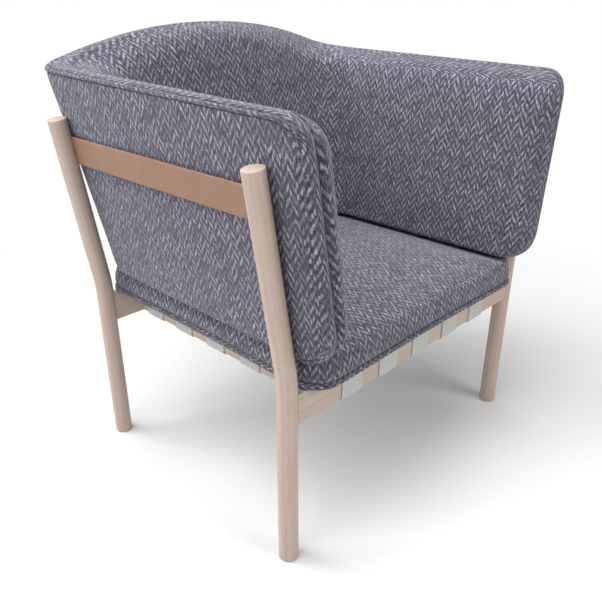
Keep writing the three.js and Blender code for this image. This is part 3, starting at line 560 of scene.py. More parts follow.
INNER_FRONT_SECTION = [
    (5, 30.3), (3.6, 32, 0.2), (2, 34, 1.7), (0, PAD_FACE_DEPTH, FRONT_SWELL),
]
INNER_BOTTOM_SECTION = [(0.5, 30.3), (0.2, 31.1), (0, 33.5), (0, PAD_FACE_DEPTH)]


def swell_share():
    """How far the cover of a pad may follow: 0 along its seams and 1 in its middle."""
    share = crown_share(FINE, FINE_ROWS, SWELL_RUN)
    return (1 - np.cos(math.pi * share)) / 2


def outer_pad():
    """Outer pad: a flat outer side, rolled round to the front like a quarter circle and only eased at
    the top and the bottom, then a slightly full edge band, and the pocket that holds the core."""
    roll = OUTER_ROLL * (1 - np.sqrt(1 - (1 - crown_share(FINE, FINE_ROWS, OUTER_ROLL_RUN)) ** 2))
    away = WELT_SEAT + from_the_front(FINE, FINE_ROWS)
    inside = np.clip(FRONT_ROLL - away, 0, FRONT_ROLL)
    front = FRONT_ROLL - np.sqrt(FRONT_ROLL**2 - inside**2)
    share = front_shares(FINE_ROWS)[None, :]
    roll = roll + share * np.where(inside > 0, front - roll, 0)
    panels = Panels()
    panels.add_all(shell_cloth(FINE, FINE_ROWS, WELT_SEAT, roll, free=swell_share()))
    sections = [OUTER_TOP_SECTION, OUTER_FRONT_SECTION, OUTER_BOTTOM_SECTION]
    panels.add(*edge_panel(FINE, FINE_ROWS, *sections))
    pocket = [(CORE_RIM, BAND_WIDTH), (CORE_RIM, POCKET_DEPTH)]
    panels.add(*edge_panel(FINE, FINE_ROWS, *([section[-1], *pocket] for section in sections)))
    panels.add_all(shell_cloth(FINE, FINE_ROWS, CORE_RIM, POCKET_DEPTH))
    return panels.piece("outer_pad")


def inner_pad():
    """Inner pad: flat on the core and crowned towards the sitter. Its edges rise by
    (1 - (1 - share) ** CROWN_POWER) ** (1 / CROWN_POWER), and it is a little full at the front. The
    edge band's cloth runs on over the top of the roll, as far as the bend."""
    share = crown_share(FINE, FINE_ROWS, PAD_CROWN_RUN, quicker_low=3.2)
    crown = PAD_CROWN * (1 - (1 - share) ** CROWN_POWER) ** (1 / CROWN_POWER)
    swell = FRONT_SWELL * front_shares(FINE_ROWS)[None, :] + 0 * crown
    from_top = (1 - FINE_ROWS) * (FRONT_TOP - SHELL_BOTTOM)
    bend = int(np.argmin(np.abs(from_top - BAND_ON_ROLL)))
    panels = Panels()
    last = len(FINE[0]) - 1
    arm = ARM_COLUMNS - 1
    depth = PAD_FACE_DEPTH + crown
    parts = shell_cloth(FINE, FINE_ROWS, 0, depth, forward=swell, free=swell_share())
    beyond = (slice(arm, None), slice(None), slice(None, len(parts[2][0]) - arm))
    for grids, columns in zip(parts, beyond):
        panels.add(*(grid[:, : bend + 1] for grid in grids))
        panels.add(*(grid[columns, bend:] for grid in grids))
    roll = shell_points(FINE, FINE_ROWS, 0, depth, swell)[:, bend:]
    across = travelled(roll, 1).mean(0, keepdims=True) + 0 * roll[..., 0]
    along = travelled(roll[:, -1:], 0) + 0 * roll[..., 0]
    for columns in (slice(0, arm + 1), slice(last - arm, None)):
        panels.add(roll[columns], np.stack([across, along], -1)[columns])
    back = BAND_WIDTH + FIT_GAP
    sections = [INNER_TOP_SECTION, INNER_FRONT_SECTION, INNER_BOTTOM_SECTION]
    panels.add(*edge_panel(FINE, FINE_ROWS, *(section[::-1] for section in sections)))
    panels.add(*edge_panel(
        FINE, FINE_ROWS, *([section[0], (INNER_RIM, back)] for section in sections),
    ))
    panels.add_all(shell_cloth(FINE, FINE_ROWS, INNER_RIM, back))
    return panels.piece("inner_pad")


def welt_piece(name, loops):
    """A piping from the closed lines that run along it, side by side round its section.
    u runs round the section and v along the piping, drawn together by WELT_WRAP."""
    runs = np.stack([*loops, loops[0]])
    around = travelled(runs, 0).mean(1, keepdims=True) + np.zeros(runs.shape[:2])
    along = travelled(runs, 1).mean(0, keepdims=True) + np.zeros(runs.shape[:2])
    panels = Panels()
    panels.add(runs, np.stack([around, along * WELT_WRAP], -1))
    return panels.piece(name)


def shell_welt(name, radius, top, front, bottom):
    """A piping round the panel: a circle of WELT_SIDES lines about a middle line, whose set-in and
    depth are blended from those of the top edge to those of the front and the bottom edge."""
    at_top, at_front, at_low = loop_shares(FINE, FINE_ROWS)
    set_in, depth = (at_top * top[k] + at_front * front[k] + at_low * bottom[k] for k in (0, 1))
    turns = np.arange(WELT_SIDES) * 2 * math.pi / WELT_SIDES
    return welt_piece(name, [
        edge_loop(
            FINE, FINE_ROWS,
            set_in + radius * math.cos(turn), depth + radius * math.sin(turn), 0 * depth,
        )
        for turn in turns
    ])


# Seat cushion


def cushion_outline(set_in):
    """Outline seen from above, with round corners and the sides' middles drawn in by a sine squared."""
    half_x = CUSHION_HALF_WIDTH - set_in
    half_y = (CUSHION_REAR - CUSHION_FRONT) / 2 - set_in
    radius = max(CUSHION_CORNER_RADIUS - set_in, CUSHION_EDGE_RADIUS)
    turn = np.linspace(0, math.pi / 2, CUSHION_CORNER_STEPS + 1)
    share = np.arange(1, CUSHION_SIDE_STEPS) / CUSHION_SIDE_STEPS
    pull = CUSHION_DRAW_IN * np.sin(math.pi * share) ** 2
    points = []
    for quarter, (sign_x, sign_y) in enumerate([(1, -1), (1, 1), (-1, 1), (-1, -1)]):
        angle = (quarter - 1) * math.pi / 2 + turn
        centre = np.array([sign_x * (half_x - radius), sign_y * (half_y - radius)])
        arc = centre + radius * np.stack([np.cos(angle), np.sin(angle)], -1)
        points.append(arc)
        length = 2 * (half_y if quarter % 2 == 0 else half_x) - 2 * radius
        ahead = np.array([-math.sin(angle[-1]), math.cos(angle[-1])])
        inward = -np.array([math.cos(angle[-1]), math.sin(angle[-1])])
        points.append(arc[-1] + length * share[:, None] * ahead + pull[:, None] * inward)
    outline = np.concatenate(points)
    outline = np.concatenate([outline, outline[:1]])
    return outline + np.array([0, CUSHION_MIDDLE_Y])


def from_the_rest(x, y):
    """Distance of a place on the cushion's top from its front edge and from where the shell rests."""
    return soft_smallest([
        CUSHION_HALF_WIDTH - CUSHION_REST_SIDES - np.abs(x),
        y - CUSHION_FRONT - CUSHION_SIDE_SLOPE - CUSHION_EDGE_RADIUS,
        SHELL_BACK_FOOT - CUSHION_REST_BACK - y,
    ])


def filled(loop):
    """A grid that fills a loop of the cushion's outline: (1 - t) low(s) + t high(s) + (1 - s) left(t) +
    s right(t), less the straight blend of the four corners, which lie in the middle of its arcs."""
    steps = CUSHION_CORNER_STEPS + CUSHION_SIDE_STEPS
    turned = np.roll(loop[:-1], -(CUSHION_CORNER_STEPS // 2), axis=0)
    turned = np.concatenate([turned, turned[:1]])
    right, high, left, low = (turned[i * steps : (i + 1) * steps + 1] for i in range(4))
    high, left = high[::-1], left[::-1]
    s = np.linspace(0, 1, steps + 1)[None, :, None]
    t = s.transpose(1, 0, 2)
    edges = (1 - t) * low[None] + t * high[None] + (1 - s) * left[:, None] + s * right[:, None]
    corners = (1 - t) * ((1 - s) * low[0] + s * low[-1]) + t * ((1 - s) * high[0] + s * high[-1])
    return edges - corners


def cushion():
    """Cushion: rings up its full side and over its edge, and a top that rises by
    1 - exp(-distance from the rest / run) of the crown. On the side u is the way round the outline
    and v the height; on top they are X and Y."""
    side_top = CUSHION_SIDE_HEIGHT - CUSHION_EDGE_RADIUS
    profile = [(CUSHION_WELT_SEAT, 0), (0, CUSHION_WELT_SEAT)]
    for share in np.linspace(0, 1, CUSHION_RISE_STEPS + 1)[1:]:
        height = CUSHION_WELT_SEAT + (side_top - CUSHION_WELT_SEAT) * share
        bulge = CUSHION_SIDE_BULGE * math.sin(math.pi * share)
        profile.append((CUSHION_SIDE_SLOPE * share - bulge, height))
    for turn in np.linspace(0, math.pi / 2, CUSHION_EDGE_STEPS + 1)[1:]:
        ease = CUSHION_EDGE_RADIUS * (1 - math.cos(turn))
        profile.append((CUSHION_SIDE_SLOPE + ease, side_top + CUSHION_EDGE_RADIUS * math.sin(turn)))
    side = np.stack([
        np.insert(cushion_outline(set_in), 2, CUSHION_BOTTOM + height, axis=1) for set_in, height in profile
    ])
    middle_ring = side[len(profile) // 2]
    along = travelled(middle_ring[None], 1)[0]
    front = np.argmin(np.abs(middle_ring[:, 0]) + (middle_ring[:, 1] > CUSHION_MIDDLE_Y) * FAR_AWAY)
    round_it = along - along[front]
    up = travelled(side, 0).mean(1)
    rim_v = CUSHION_FRONT + CUSHION_SIDE_SLOPE + CUSHION_EDGE_RADIUS
    cloth_u = np.broadcast_to(round_it, side.shape[:2])
    cloth_v = np.broadcast_to((up - up[-1] + rim_v)[:, None], side.shape[:2])
    panels = Panels()
    panels.add(side, np.stack([cloth_u, cloth_v], -1))
    top = filled(side[-1])
    inner = np.zeros(top.shape[:2])
    inner[1:-1, 1:-1] = 1
    inside = from_the_rest(top[..., 0], top[..., 1])
    rise = CUSHION_CROWN * (1 - np.exp(-inside / CUSHION_CROWN_RUN))
    top[..., 2] = CUSHION_TOP_EDGE + rise * inner
    panels.add(top, top[..., :2], (1 - np.cos(math.pi * np.minimum(inside / SWELL_RUN, 1))) / 2)
    low = filled(side[0])
    panels.add(low, low[..., :2])
    return panels.piece("cushion")


def cushion_welt():
    """Piping along the cushion's bottom edge."""
    diagonal = CUSHION_WELT_RADIUS + CUSHION_WELT_GAP - CUSHION_WELT_SEAT / math.sqrt(2)
    stand_off = diagonal / math.sqrt(2)
    loops = []
    for turn in np.arange(WELT_SIDES) * 2 * math.pi / WELT_SIDES:
        outline = cushion_outline(-stand_off + CUSHION_WELT_RADIUS * math.cos(turn))
        height = CUSHION_BOTTOM - stand_off + CUSHION_WELT_RADIUS * math.sin(turn)
        loops.append(np.insert(outline, 2, height, axis=1))
    return welt_piece("cushion_piping", loops)


# Swelling of the covers

SWELL_FRAMES = 20
SWELL_PRESSURE = 4.0


def swollen(piece, reach):
    """Blows the cover of a pad up a little, as cloth over its foam: Blender's cloth under pressure,
    held along the seams. No point moves further than reach, in millimetres, because its move is
    reach * tanh(move / reach). Smoothed once at the end."""
    mesh = piece.data
    rest = np.empty(len(mesh.vertices) * 3)
    mesh.vertices.foreach_get("co", rest)
    free = np.empty(len(mesh.vertices))
    mesh.attributes["free"].data.foreach_get("value", free)
    held = piece.vertex_groups.new(name="held")
    for number, share in enumerate(free):
        held.add([number], 1 - float(share), "REPLACE")
    cover = piece.modifiers.new("cover", "CLOTH")
    cover.settings.use_pressure = True
    cover.settings.uniform_pressure_force = SWELL_PRESSURE
    cover.settings.effector_weights.gravity = 0
    cover.settings.vertex_group_mass = "held"
    cover.point_cache.frame_start = 1
    cover.point_cache.frame_end = SWELL_FRAMES
    scene = bpy.context.scene
    for number in range(1, SWELL_FRAMES + 1):
        scene.frame_set(number)
    settled = piece.evaluated_get(bpy.context.evaluated_depsgraph_get()).data
    moved = np.empty_like(rest)
    settled.vertices.foreach_get("co", moved)
    move = (moved - rest).reshape(-1, 3)
    length = np.maximum(np.linalg.norm(move, axis=1, keepdims=True), TINY)
    move *= reach * MM * np.tanh(length / (reach * MM)) / length * np.sqrt(free)[:, None]
    mesh.vertices.foreach_set("co", rest + move.ravel())
    piece.modifiers.remove(cover)
    piece.vertex_groups.remove(held)
    scene.frame_set(1)
    mesh.update()
    mesh.attributes.remove(mesh.attributes["free"])
    smooth = piece.modifiers.new("smooth", "SUBSURF")
    smooth.levels = smooth.render_levels = 1
    return piece


# Frame


def bent_leg(name, side_x, side_y, lean_inward, grain_shift):
    """A turned leg: rings of radius r along its length, carried to a centre line that is upright,
    then an arc of LEG_BEND_RADIUS, then straight again."""
    tilt = math.atan2(math.hypot(POST_LEAN_OUT, lean_inward), POST_RISE)
    tangent = LEG_BEND_RADIUS * math.tan(tilt / 2)
    start = LEG_BEND_HEIGHT - tangent
    bend = LEG_BEND_RADIUS * tilt
    length = start + bend + POST_RISE / math.cos(tilt) - tangent
    turn = np.linspace(0, math.pi / 2, LEG_EDGE_STEPS + 1)
    low = GLIDE_PROUD + LEG_EDGE_RADIUS * (1 - np.sin(turn))
    run = np.concatenate([
        low[::-1],
        np.linspace(low[0], start, LEG_FOOT_STEPS + 1)[1:],
        np.linspace(start, start + bend, LEG_BEND_STEPS + 1)[1:],
        np.linspace(start + bend, length - LEG_EDGE_RADIUS, LEG_POST_STEPS + 1)[1:],
        length - LEG_EDGE_RADIUS * (1 - np.sin(turn[1:])),
    ])
    radius = (LEG_FOOT_DIAMETER + (LEG_TOP_DIAMETER - LEG_FOOT_DIAMETER) * run / length) / 2
    ease = LEG_EDGE_RADIUS * (1 - np.cos(turn))
    radius[: len(turn)] -= ease[::-1]
    radius[-len(turn) + 1 :] -= ease[1:]
    run = np.concatenate([run[:1], run, run[-1:]])
    radius = np.concatenate([[0], radius, [0]])
    around = np.linspace(0, 2 * math.pi, LEG_SIDES + 1)
    across = radius[:, None] * np.cos(around)
    beside = radius[:, None] * np.sin(around)
    lean = np.clip((run - start) / LEG_BEND_RADIUS, 0, tilt)[:, None]
    straight = np.maximum(run - start - bend, 0)[:, None]
    low_run = np.minimum(run, start)[:, None]
    out = LEG_BEND_RADIUS * (1 - np.cos(lean)) + straight * np.sin(lean) + across * np.cos(lean)
    up = low_run + LEG_BEND_RADIUS * np.sin(lean) + straight * np.cos(lean) - across * np.sin(lean)
    heading = math.atan2(lean_inward, POST_LEAN_OUT)
    turned = (0 if side_x > 0 else math.pi) - side_x * side_y * heading
    x = out * math.cos(turned) - beside * math.sin(turned) + side_x * LEG_X
    y = out * math.sin(turned) + beside * math.cos(turned) + (FRONT_Y if side_y < 0 else REAR_Y)
    points = np.stack([x, y, up], -1).reshape(-1, 3)
    grain = np.stack([across + grain_shift, beside - grain_shift, run[:, None] + 0 * across], -1)
    return mesh_piece(name, points, grid_quads(len(run), LEG_SIDES + 1), merge=MERGE, grain=grain)


def eased_board(name, low, high, radius, length_axis, grain_shift):
    """A board between two corners with its long edges eased, and grain along its length."""
    mesh = bpy.data.meshes.new(name)
    piece = bpy.data.objects.new(name, mesh)
    bpy.context.scene.collection.objects.link(piece)
    work = bmesh.new()
    middle, size = Vector((low + high) / 2 * MM), Vector((high - low) * MM)
    bmesh.ops.create_cube(work, size=1.0, matrix=Matrix.LocRotScale(middle, None, size))
    long_edges = [
        edge for edge in work.edges
        if abs((edge.verts[0].co - edge.verts[1].co).normalized()[length_axis]) > ALONG_THE_RAIL
    ]
    bmesh.ops.bevel(
        work, geom=long_edges, offset=radius * MM, segments=RAIL_EDGE_STEPS, profile=0.5, affect="EDGES",
    )
    work.to_mesh(mesh)
    work.free()
    mesh.shade_smooth()
    mesh.set_sharp_from_angle(angle=RAIL_SHARP_ANGLE)
    places = np.empty(len(mesh.vertices) * 3)
    mesh.vertices.foreach_get("co", places)
    order = [axis for axis in range(3) if axis != length_axis] + [length_axis]
    shift = np.array([1, -1, 3]) * grain_shift
    keep_grain(mesh, places.reshape(-1, 3)[:, order] / MM + shift)
    return piece


def flat_strip(line, width, thickness, edge_steps):
    """A strip along a line in its own plane: line holds the middle's points, along and up, and the
    section is a flat rectangle with rounded edges. Returns points section by section, with the way
    along, and places on the strip."""
    ahead = np.gradient(line, axis=0)
    ahead /= np.linalg.norm(ahead, axis=1, keepdims=True)
    normal = np.stack([-ahead[:, 1], ahead[:, 0]], -1)
    half = thickness / 2
    turn = np.linspace(-math.pi / 2, math.pi / 2, edge_steps + 1)
    edge = width / 2 - half + half * np.cos(turn)
    edge_up = half * np.sin(turn)
    flat = np.linspace(-1, 1, STRIP_FLAT_STEPS + 1)[1:-1] * (width / 2 - half)
    across = np.concatenate([edge, flat[::-1], -edge, flat])
    raised = np.concatenate([edge_up, 0 * flat + half, -edge_up, 0 * flat - half])
    across = np.append(across, across[0])
    raised = np.append(raised, raised[0])
    along = line[:, None, 0] + normal[:, None, 0] * raised
    up = line[:, None, 1] + normal[:, None, 1] * raised
    wide = np.broadcast_to(across, along.shape)
    run = travelled(line, 0)[:, None] + 0 * along
    return np.stack([along, wide, up], -1), np.stack([wide, run], -1)


def capped(name, points, cloth):
    """A closed strip from its sections: both ends are closed by a section drawn to its middle."""
    first, last = (np.broadcast_to(points[end, :-1].mean(0), points[end].shape) for end in (0, -1))
    panels = Panels()
    panels.add(
        np.concatenate([first[None], points, last[None]]), np.concatenate([cloth[:1], cloth, cloth[-1:]]),
    )
    return panels.piece(name, merge=THIN_MERGE)


def arm_strap(name, side_x):
    """A strap of sole leather between two posts, on their inner sides."""
    rise = STRAP_HEIGHT - LEG_BEND_HEIGHT
    front = FRONT_Y + POST_LEAN_INWARD["front"] * rise / POST_RISE - STRAP_PAST_POST
    rear = REAR_Y - POST_LEAN_INWARD["rear"] * rise / POST_RISE + STRAP_PAST_POST
    line = np.stack([np.linspace(front, rear, STRAP_POINTS), np.zeros(STRAP_POINTS)], -1)
    points, cloth = flat_strip(line, STRAP_WIDTH, STRAP_THICKNESS, STRAP_EDGE_STEPS)
    along, wide, up = points[..., 0], points[..., 1], points[..., 2]
    post_x = LEG_X + rise * math.tan(LEAN_ANGLE)
    off = up - STRAP_OFF_AXIS
    x = side_x * (post_x + off * math.cos(LEAN_ANGLE) + wide * math.sin(LEAN_ANGLE))
    z = STRAP_HEIGHT + wide * math.cos(LEAN_ANGLE) - off * math.sin(LEAN_ANGLE)
    return capped(name, np.stack([x, along, z], -1), cloth)


def wrap_line(outer_face, side):
    """One end of a strap of webbing: from the rail's top round its outer face and under it."""
    off = FIT_GAP + WEBBING_THICKNESS / 2
    bend = RAIL_EDGE_RADIUS + off
    across = outer_face - RAIL_EDGE_RADIUS
    turn = np.linspace(math.pi / 2, 0, WRAP_STEPS + 1)
    top = np.stack([across + bend * np.cos(turn), RAIL_TOP - RAIL_EDGE_RADIUS + bend * np.sin(turn)], -1)
    turn = -turn[::-1]
    low = np.stack([across + bend * np.cos(turn), RAIL_BOTTOM + RAIL_EDGE_RADIUS + bend * np.sin(turn)], -1)
    side_run = np.linspace(top[-1], low[0], WRAP_STEPS + 1)[1:-1]
    end = np.array([outer_face - WEBBING_TUCK, RAIL_BOTTOM - off])
    tuck = np.linspace(low[-1], end, TUCK_STEPS + 1)[1:]
    return np.concatenate([top, side_run, low, tuck]) * np.array([side, 1])


def weave_line(span, crossings, first_over):
    """Middle line of a strap that passes over and under those that it crosses, eased by a cosine."""
    edge = span / 2 - RAIL_THICKNESS - WEBBING_THICKNESS
    half = WEBBING_WIDTH / 2 + WEBBING_THICKNESS
    stations = [-edge]
    levels = [WEBBING_LEVEL]
    over = first_over
    for crossing in crossings:
        level = WEBBING_LEVEL + (WEBBING_SWING if over else -WEBBING_SWING)
        stations += [crossing - half, crossing + half]
        levels += [level, level]
        over = not over
    stations.append(edge)
    levels.append(WEBBING_LEVEL)
    along = np.arange(-edge, edge + 1, WEBBING_STEP)
    place = np.searchsorted(stations, along, side="right").clip(1, len(stations) - 1)
    low, high = np.array(stations)[place - 1], np.array(stations)[place]
    share = (1 - np.cos(math.pi * np.clip((along - low) / (high - low), 0, 1))) / 2
    level = np.array(levels)[place - 1] * (1 - share) + np.array(levels)[place] * share
    return np.stack([along, level], -1)


def webbing_strap(name, node, span, crossings, first_over, lengthwise):
    """A strap of webbing, woven through its neighbours and wrapped over the rails at both ends."""
    line = np.concatenate([
        wrap_line(span / 2, -1)[::-1],
        weave_line(span, crossings, first_over),
        wrap_line(span / 2, 1),
    ])
    points, cloth = flat_strip(line, WEBBING_WIDTH, WEBBING_THICKNESS, WEBBING_EDGE_STEPS)
    along, wide, up = points[..., 0], points[..., 1], points[..., 2]
    if lengthwise:
        placed = np.stack([wide + node_middle(node, 0), along + MIDDLE_Y, up], -1)
    else:
        placed = np.stack([along, wide + node_middle(node, 1), up], -1)
    return capped(name, placed, cloth)


# Materials


def linear(hex_colour):
    """Linear RGBA of an sRGB hex value."""
    channels = [int(hex_colour[i : i + 2], 16) / 255 for i in (0, 2, 4)]
    return [c / 12.92 if c <= 0.04045 else ((c + 0.055) / 1.055) ** 2.4 for c in channels] + [1.0]


def feed(tree, node, inputs):
    """Feeds a node's inputs with values, with other nodes' outputs, or with whole nodes, whose first
    output counts. inputs is a list in the node's own order, or a table by name."""
    for key, value in inputs.items() if isinstance(inputs, dict) else enumerate(inputs):
        if isinstance(value, bpy.types.Node):
            value = value.outputs[0]
        if isinstance(value, bpy.types.NodeSocket):
            tree.links.new(value, node.inputs[key])
        else:
            node.inputs[key].default_value = value


def add(tree, kind, inputs=(), stops=(), **settings):
    """Adds a node, sets its fields and feeds its inputs. The kind may name an operation too, as in
    Math.ADD. stops are the places and hex colours of a colour ramp."""
    kind, _, operation = kind.partition(".")
    made = tree.nodes.new("ShaderNode" + kind)
    if operation:
        made.operation = operation
    for name, value in settings.items():
        setattr(made, name, value)
    if stops:
        elements = made.color_ramp.elements
        while len(elements) < len(stops):
            elements.new(0.5)
        for element, (place, colour) in zip(elements, stops):
            element.position = place
            element.color = linear(colour)
    feed(tree, made, inputs)
    return made


def emptied_tree(holder):
    """The node tree of a material or a world, with nothing in it yet."""
    holder.use_nodes = True
    holder.node_tree.nodes.clear()
    return holder.node_tree


def new_material(name, shader):
    """A material whose shader has the given constants. Returns it with its tree and shader."""
    material = bpy.data.materials.new(name)
    tree = emptied_tree(material)
    surface = add(tree, "BsdfPrincipled", shader)
    add(tree, "OutputMaterial", {"Surface": surface})
    return material, tree, surface


# Wool. Sizes are in millimetres. A column of slanting floats turns back every WEAVE_COLUMN, and rows
# repeat every WEAVE_ROW. WOOL_SWAY gives the size of each unevenness of the cloth, and how far it
# pushes the weave across and along.
WEAVE_COLUMN = 10.9
WEAVE_ROW = 16.1
WEAVE_ENDS = 4
WOOL_SWAY = {45: (2.5, 6.0, 0.0), 6: (1.6, 4.6, 0.0)}
STEPPED_SHARE = 0.35
SLUBS_ACROSS_END = 1.7
SLUB_LENGTH = 7.0
FIBRE_SIZE = 1.5
PATCH_SIZE = 28
YARN_DEPTH = 0.9
DARKEST_WOOL = 0.22


def herringbone_wool():
    """Herringbone wool: a light melange warp over a dark weft, two up and two down, which turns back
    every WEAVE_ENDS ends and is cut there, half a row out of step. Each float of the warp is a short
    fat dash that leans with the twill and has a tone of its own. Loosely spun and brushed, so it is
    matt, with a soft sheen."""
    material, tree, surface = new_material("herringbone_wool", {
        "Roughness": 0.95, "Specular IOR Level": 0.15, "Sheen Weight": 0.25, "Sheen Roughness": 0.5,
    })
    cloth = add(tree, "UVMap", uv_map="cloth")
    in_mm = add(tree, "VectorMath.MULTIPLY", [cloth, (1 / MM,) * 3])
    place = in_mm
    for size, reach in WOOL_SWAY.items():
        noise = add(tree, "TexNoise", {"Vector": in_mm, "Scale": 1 / size, "Detail": 2.0})
        centred = add(tree, "VectorMath.SUBTRACT", [noise.outputs["Color"], (0.5,) * 3])
        pushed = add(tree, "VectorMath.MULTIPLY", [centred, reach])
        place = add(tree, "VectorMath.ADD", [place, pushed])
    across, along = add(tree, "SeparateXYZ", [place]).outputs[:2]

    # The floats: ends run along the cloth, and each lies a little further up than its neighbour
    ends = add(tree, "Math.DIVIDE", [across, WEAVE_COLUMN / WEAVE_ENDS])
    end = add(tree, "Math.FLOOR", [ends])
    stepped = add(tree, "Math.PINGPONG", [add(tree, "Math.ADD", [end, 0.5]), WEAVE_ENDS])
    smooth = add(tree, "Math.PINGPONG", [ends, WEAVE_ENDS])
    smooth = add(tree, "Math.MULTIPLY", [smooth, 1 - STEPPED_SHARE])
    slant = add(tree, "Math.MULTIPLY_ADD", [stepped, STEPPED_SHARE, smooth])
    rows = add(tree, "Math.DIVIDE", [along, WEAVE_ROW])
    turns = add(tree, "Math.ADD", [rows, add(tree, "Math.DIVIDE", [slant, WEAVE_ENDS])])
    column = add(tree, "Math.FLOOR", [add(tree, "Math.DIVIDE", [across, WEAVE_COLUMN])])
    every_other = add(tree, "Math.PINGPONG", [column, 1.0])
    turns = add(tree, "Math.MULTIPLY_ADD", [every_other, 0.5, turns])
    raised = add(tree, "Math.SINE", [add(tree, "Math.MULTIPLY", [turns, 2 * math.pi])])
    on_top = add(tree, "MapRange", [raised, -0.55, 0.75], interpolation_type="SMOOTHSTEP")
    over_end = add(tree, "Math.MULTIPLY", [add(tree, "Math.FRACT", [ends]), math.pi])
    round_end = add(tree, "Math.SINE", [over_end])

    # The yarn: a tone for each float, slubs along it, single fibres, and broad paler patches
    float_number = add(tree, "CombineXYZ", [end, add(tree, "Math.FLOOR", [turns])])
    own_tone = add(tree, "TexWhiteNoise", {"Vector": float_number}, noise_dimensions="2D")
    yarn_place = add(tree, "CombineXYZ", [
        add(tree, "Math.MULTIPLY", [ends, SLUBS_ACROSS_END]), add(tree, "Math.DIVIDE", [along, SLUB_LENGTH]),
    ])
    slub = add(tree, "TexNoise", {"Vector": yarn_place, "Scale": 1.0, "Detail": 2.0, "Roughness": 0.6})
    fibre = add(tree, "TexNoise", {
        "Vector": in_mm, "Scale": 1 / FIBRE_SIZE, "Detail": 3.0, "Roughness": 0.7,
    })
    patch = add(tree, "TexNoise", {"Vector": in_mm, "Scale": 1 / PATCH_SIZE, "Detail": 2.0})

    light = add(tree, "Math.MULTIPLY_ADD", [own_tone.outputs["Value"], 0.5, 0.1])
    # Painted shade: each float is darker towards the sides of its end, as shade on a round yarn. round_end
    # is 1 in the middle of an end and 0 at its sides.
    painted_side_shade = add(tree, "Math.MULTIPLY_ADD", [round_end, 0.3, 0.7])
    light = add(tree, "Math.MULTIPLY", [light, painted_side_shade])
    tone = add(tree, "Math.MULTIPLY_ADD", [on_top, light, DARKEST_WOOL])
    for noise, share in ((slub, 1.3), (fibre, 1.0), (patch, 0.22)):
        centred = add(tree, "Math.SUBTRACT", [noise, 0.5])
        tone = add(tree, "Math.MULTIPLY_ADD", [centred, share, tone])
    colour = add(tree, "ValToRGB", [tone], [
        (0.0, "32313b"), (0.3, "54535f"), (0.6, "848391"), (1.0, "c0bfcb"),
    ])
    height = add(tree, "Math.MULTIPLY", [add(tree, "Math.MULTIPLY", [on_top, round_end]), 0.5])
    height = add(tree, "Math.MULTIPLY_ADD", [slub, 0.5, height])
    height = add(tree, "Math.MULTIPLY_ADD", [fibre, 0.6, height])
    bump = add(tree, "Bump", {"Height": height, "Strength": 0.6, "Distance": YARN_DEPTH * MM})
    feed(tree, surface, {"Base Color": colour, "Normal": bump})
    return material


# Beech. Width and length of its marks in millimetres
RING_SIZE = (5, 220)
FINE_GRAIN_SIZE = (0.7, 26)
FLECK_SIZE = (1.1, 3.4)
GRAIN_DEPTH = 0.15


def soaped_beech():
    """Beech, soaped: pale and slightly pink, with straight fine grain and short darker flecks. A low
    satin that never shines."""
    material, tree, surface = new_material("soaped_beech", {
        "Roughness": 0.52, "Specular IOR Level": 0.35,
    })
    grain = add(tree, "Attribute", attribute_name="grain").outputs["Vector"]
    place = add(tree, "VectorMath.MULTIPLY", [grain, (1 / MM,) * 3])
    ring_place, fine_place, fleck_place = (
        add(tree, "VectorMath.MULTIPLY", [place, (1 / width, 1 / width, 1 / length)])
        for width, length in (RING_SIZE, FINE_GRAIN_SIZE, FLECK_SIZE)
    )
    rings = add(tree, "TexNoise", {"Vector": ring_place, "Scale": 1.0, "Detail": 3.0, "Roughness": 0.55})
    fine = add(tree, "TexNoise", {"Vector": fine_place, "Scale": 1.0, "Detail": 2.0, "Roughness": 0.6})
    fleck = add(tree, "TexVoronoi", {"Vector": fleck_place, "Scale": 1.0, "Randomness": 1.0})
    tone = add(tree, "Math.MULTIPLY_ADD", [rings, 0.7, add(tree, "Math.MULTIPLY", [fine, 0.3])])
    base = add(tree, "ValToRGB", [tone], [(0.3, "b6a08f"), (0.5, "c3afa1"), (0.7, "cbbbaf")])
    near = add(tree, "MapRange", [fleck.outputs["Distance"], 0.08, 0.22, 0.16, 0.0])
    flecked = add(tree, "Mix", {"Factor": near, "A": base, "B": linear("957866")}, data_type="RGBA")
    height = add(tree, "Math.MULTIPLY_ADD", [rings, 0.5, fine])
    bump = add(tree, "Bump", {"Height": height, "Strength": 0.12, "Distance": GRAIN_DEPTH * MM})
    feed(tree, surface, {"Base Color": flecked.outputs["Result"], "Normal": bump})
    return material


# Leather. Clouds of about 45 mm and pores of about 1 mm, given as how many go on a metre
LEATHER_CLOUDS = 22.0
LEATHER_PORES = 900.0
PORE_DEPTH = 0.15


def vegetable_tanned_leather():
    """Vegetable-tanned leather, undyed: flat tan with a fine closed grain and soft clouding, matt."""
    material, tree, surface = new_material("vegetable_tanned_leather", {
        "Roughness": 0.62, "Specular IOR Level": 0.3,
    })
    place = add(tree, "TexCoord").outputs["Object"]
    cloud = add(tree, "TexNoise", {"Vector": place, "Scale": LEATHER_CLOUDS, "Detail": 3.0})
    pores = add(tree, "TexVoronoi", {"Vector": place, "Scale": LEATHER_PORES}).outputs["Distance"]
    tone = add(tree, "Math.MULTIPLY_ADD", [cloud, 0.85, add(tree, "Math.MULTIPLY", [pores, 0.15])])
    colour = add(tree, "ValToRGB", [tone], [(0.3, "957562"), (0.5, "997965"), (0.7, "9d7d69")])
    bump = add(tree, "Bump", {"Height": pores, "Strength": 0.25, "Distance": PORE_DEPTH * MM})
    feed(tree, surface, {"Base Color": colour, "Normal": bump})
    return material


# Webbing. Its threads lie PICK apart, and its yarn is cloudy about every 4 mm
PICK = 1.9
YARN_CLOUDS = 260.0
PICK_DEPTH = 0.3


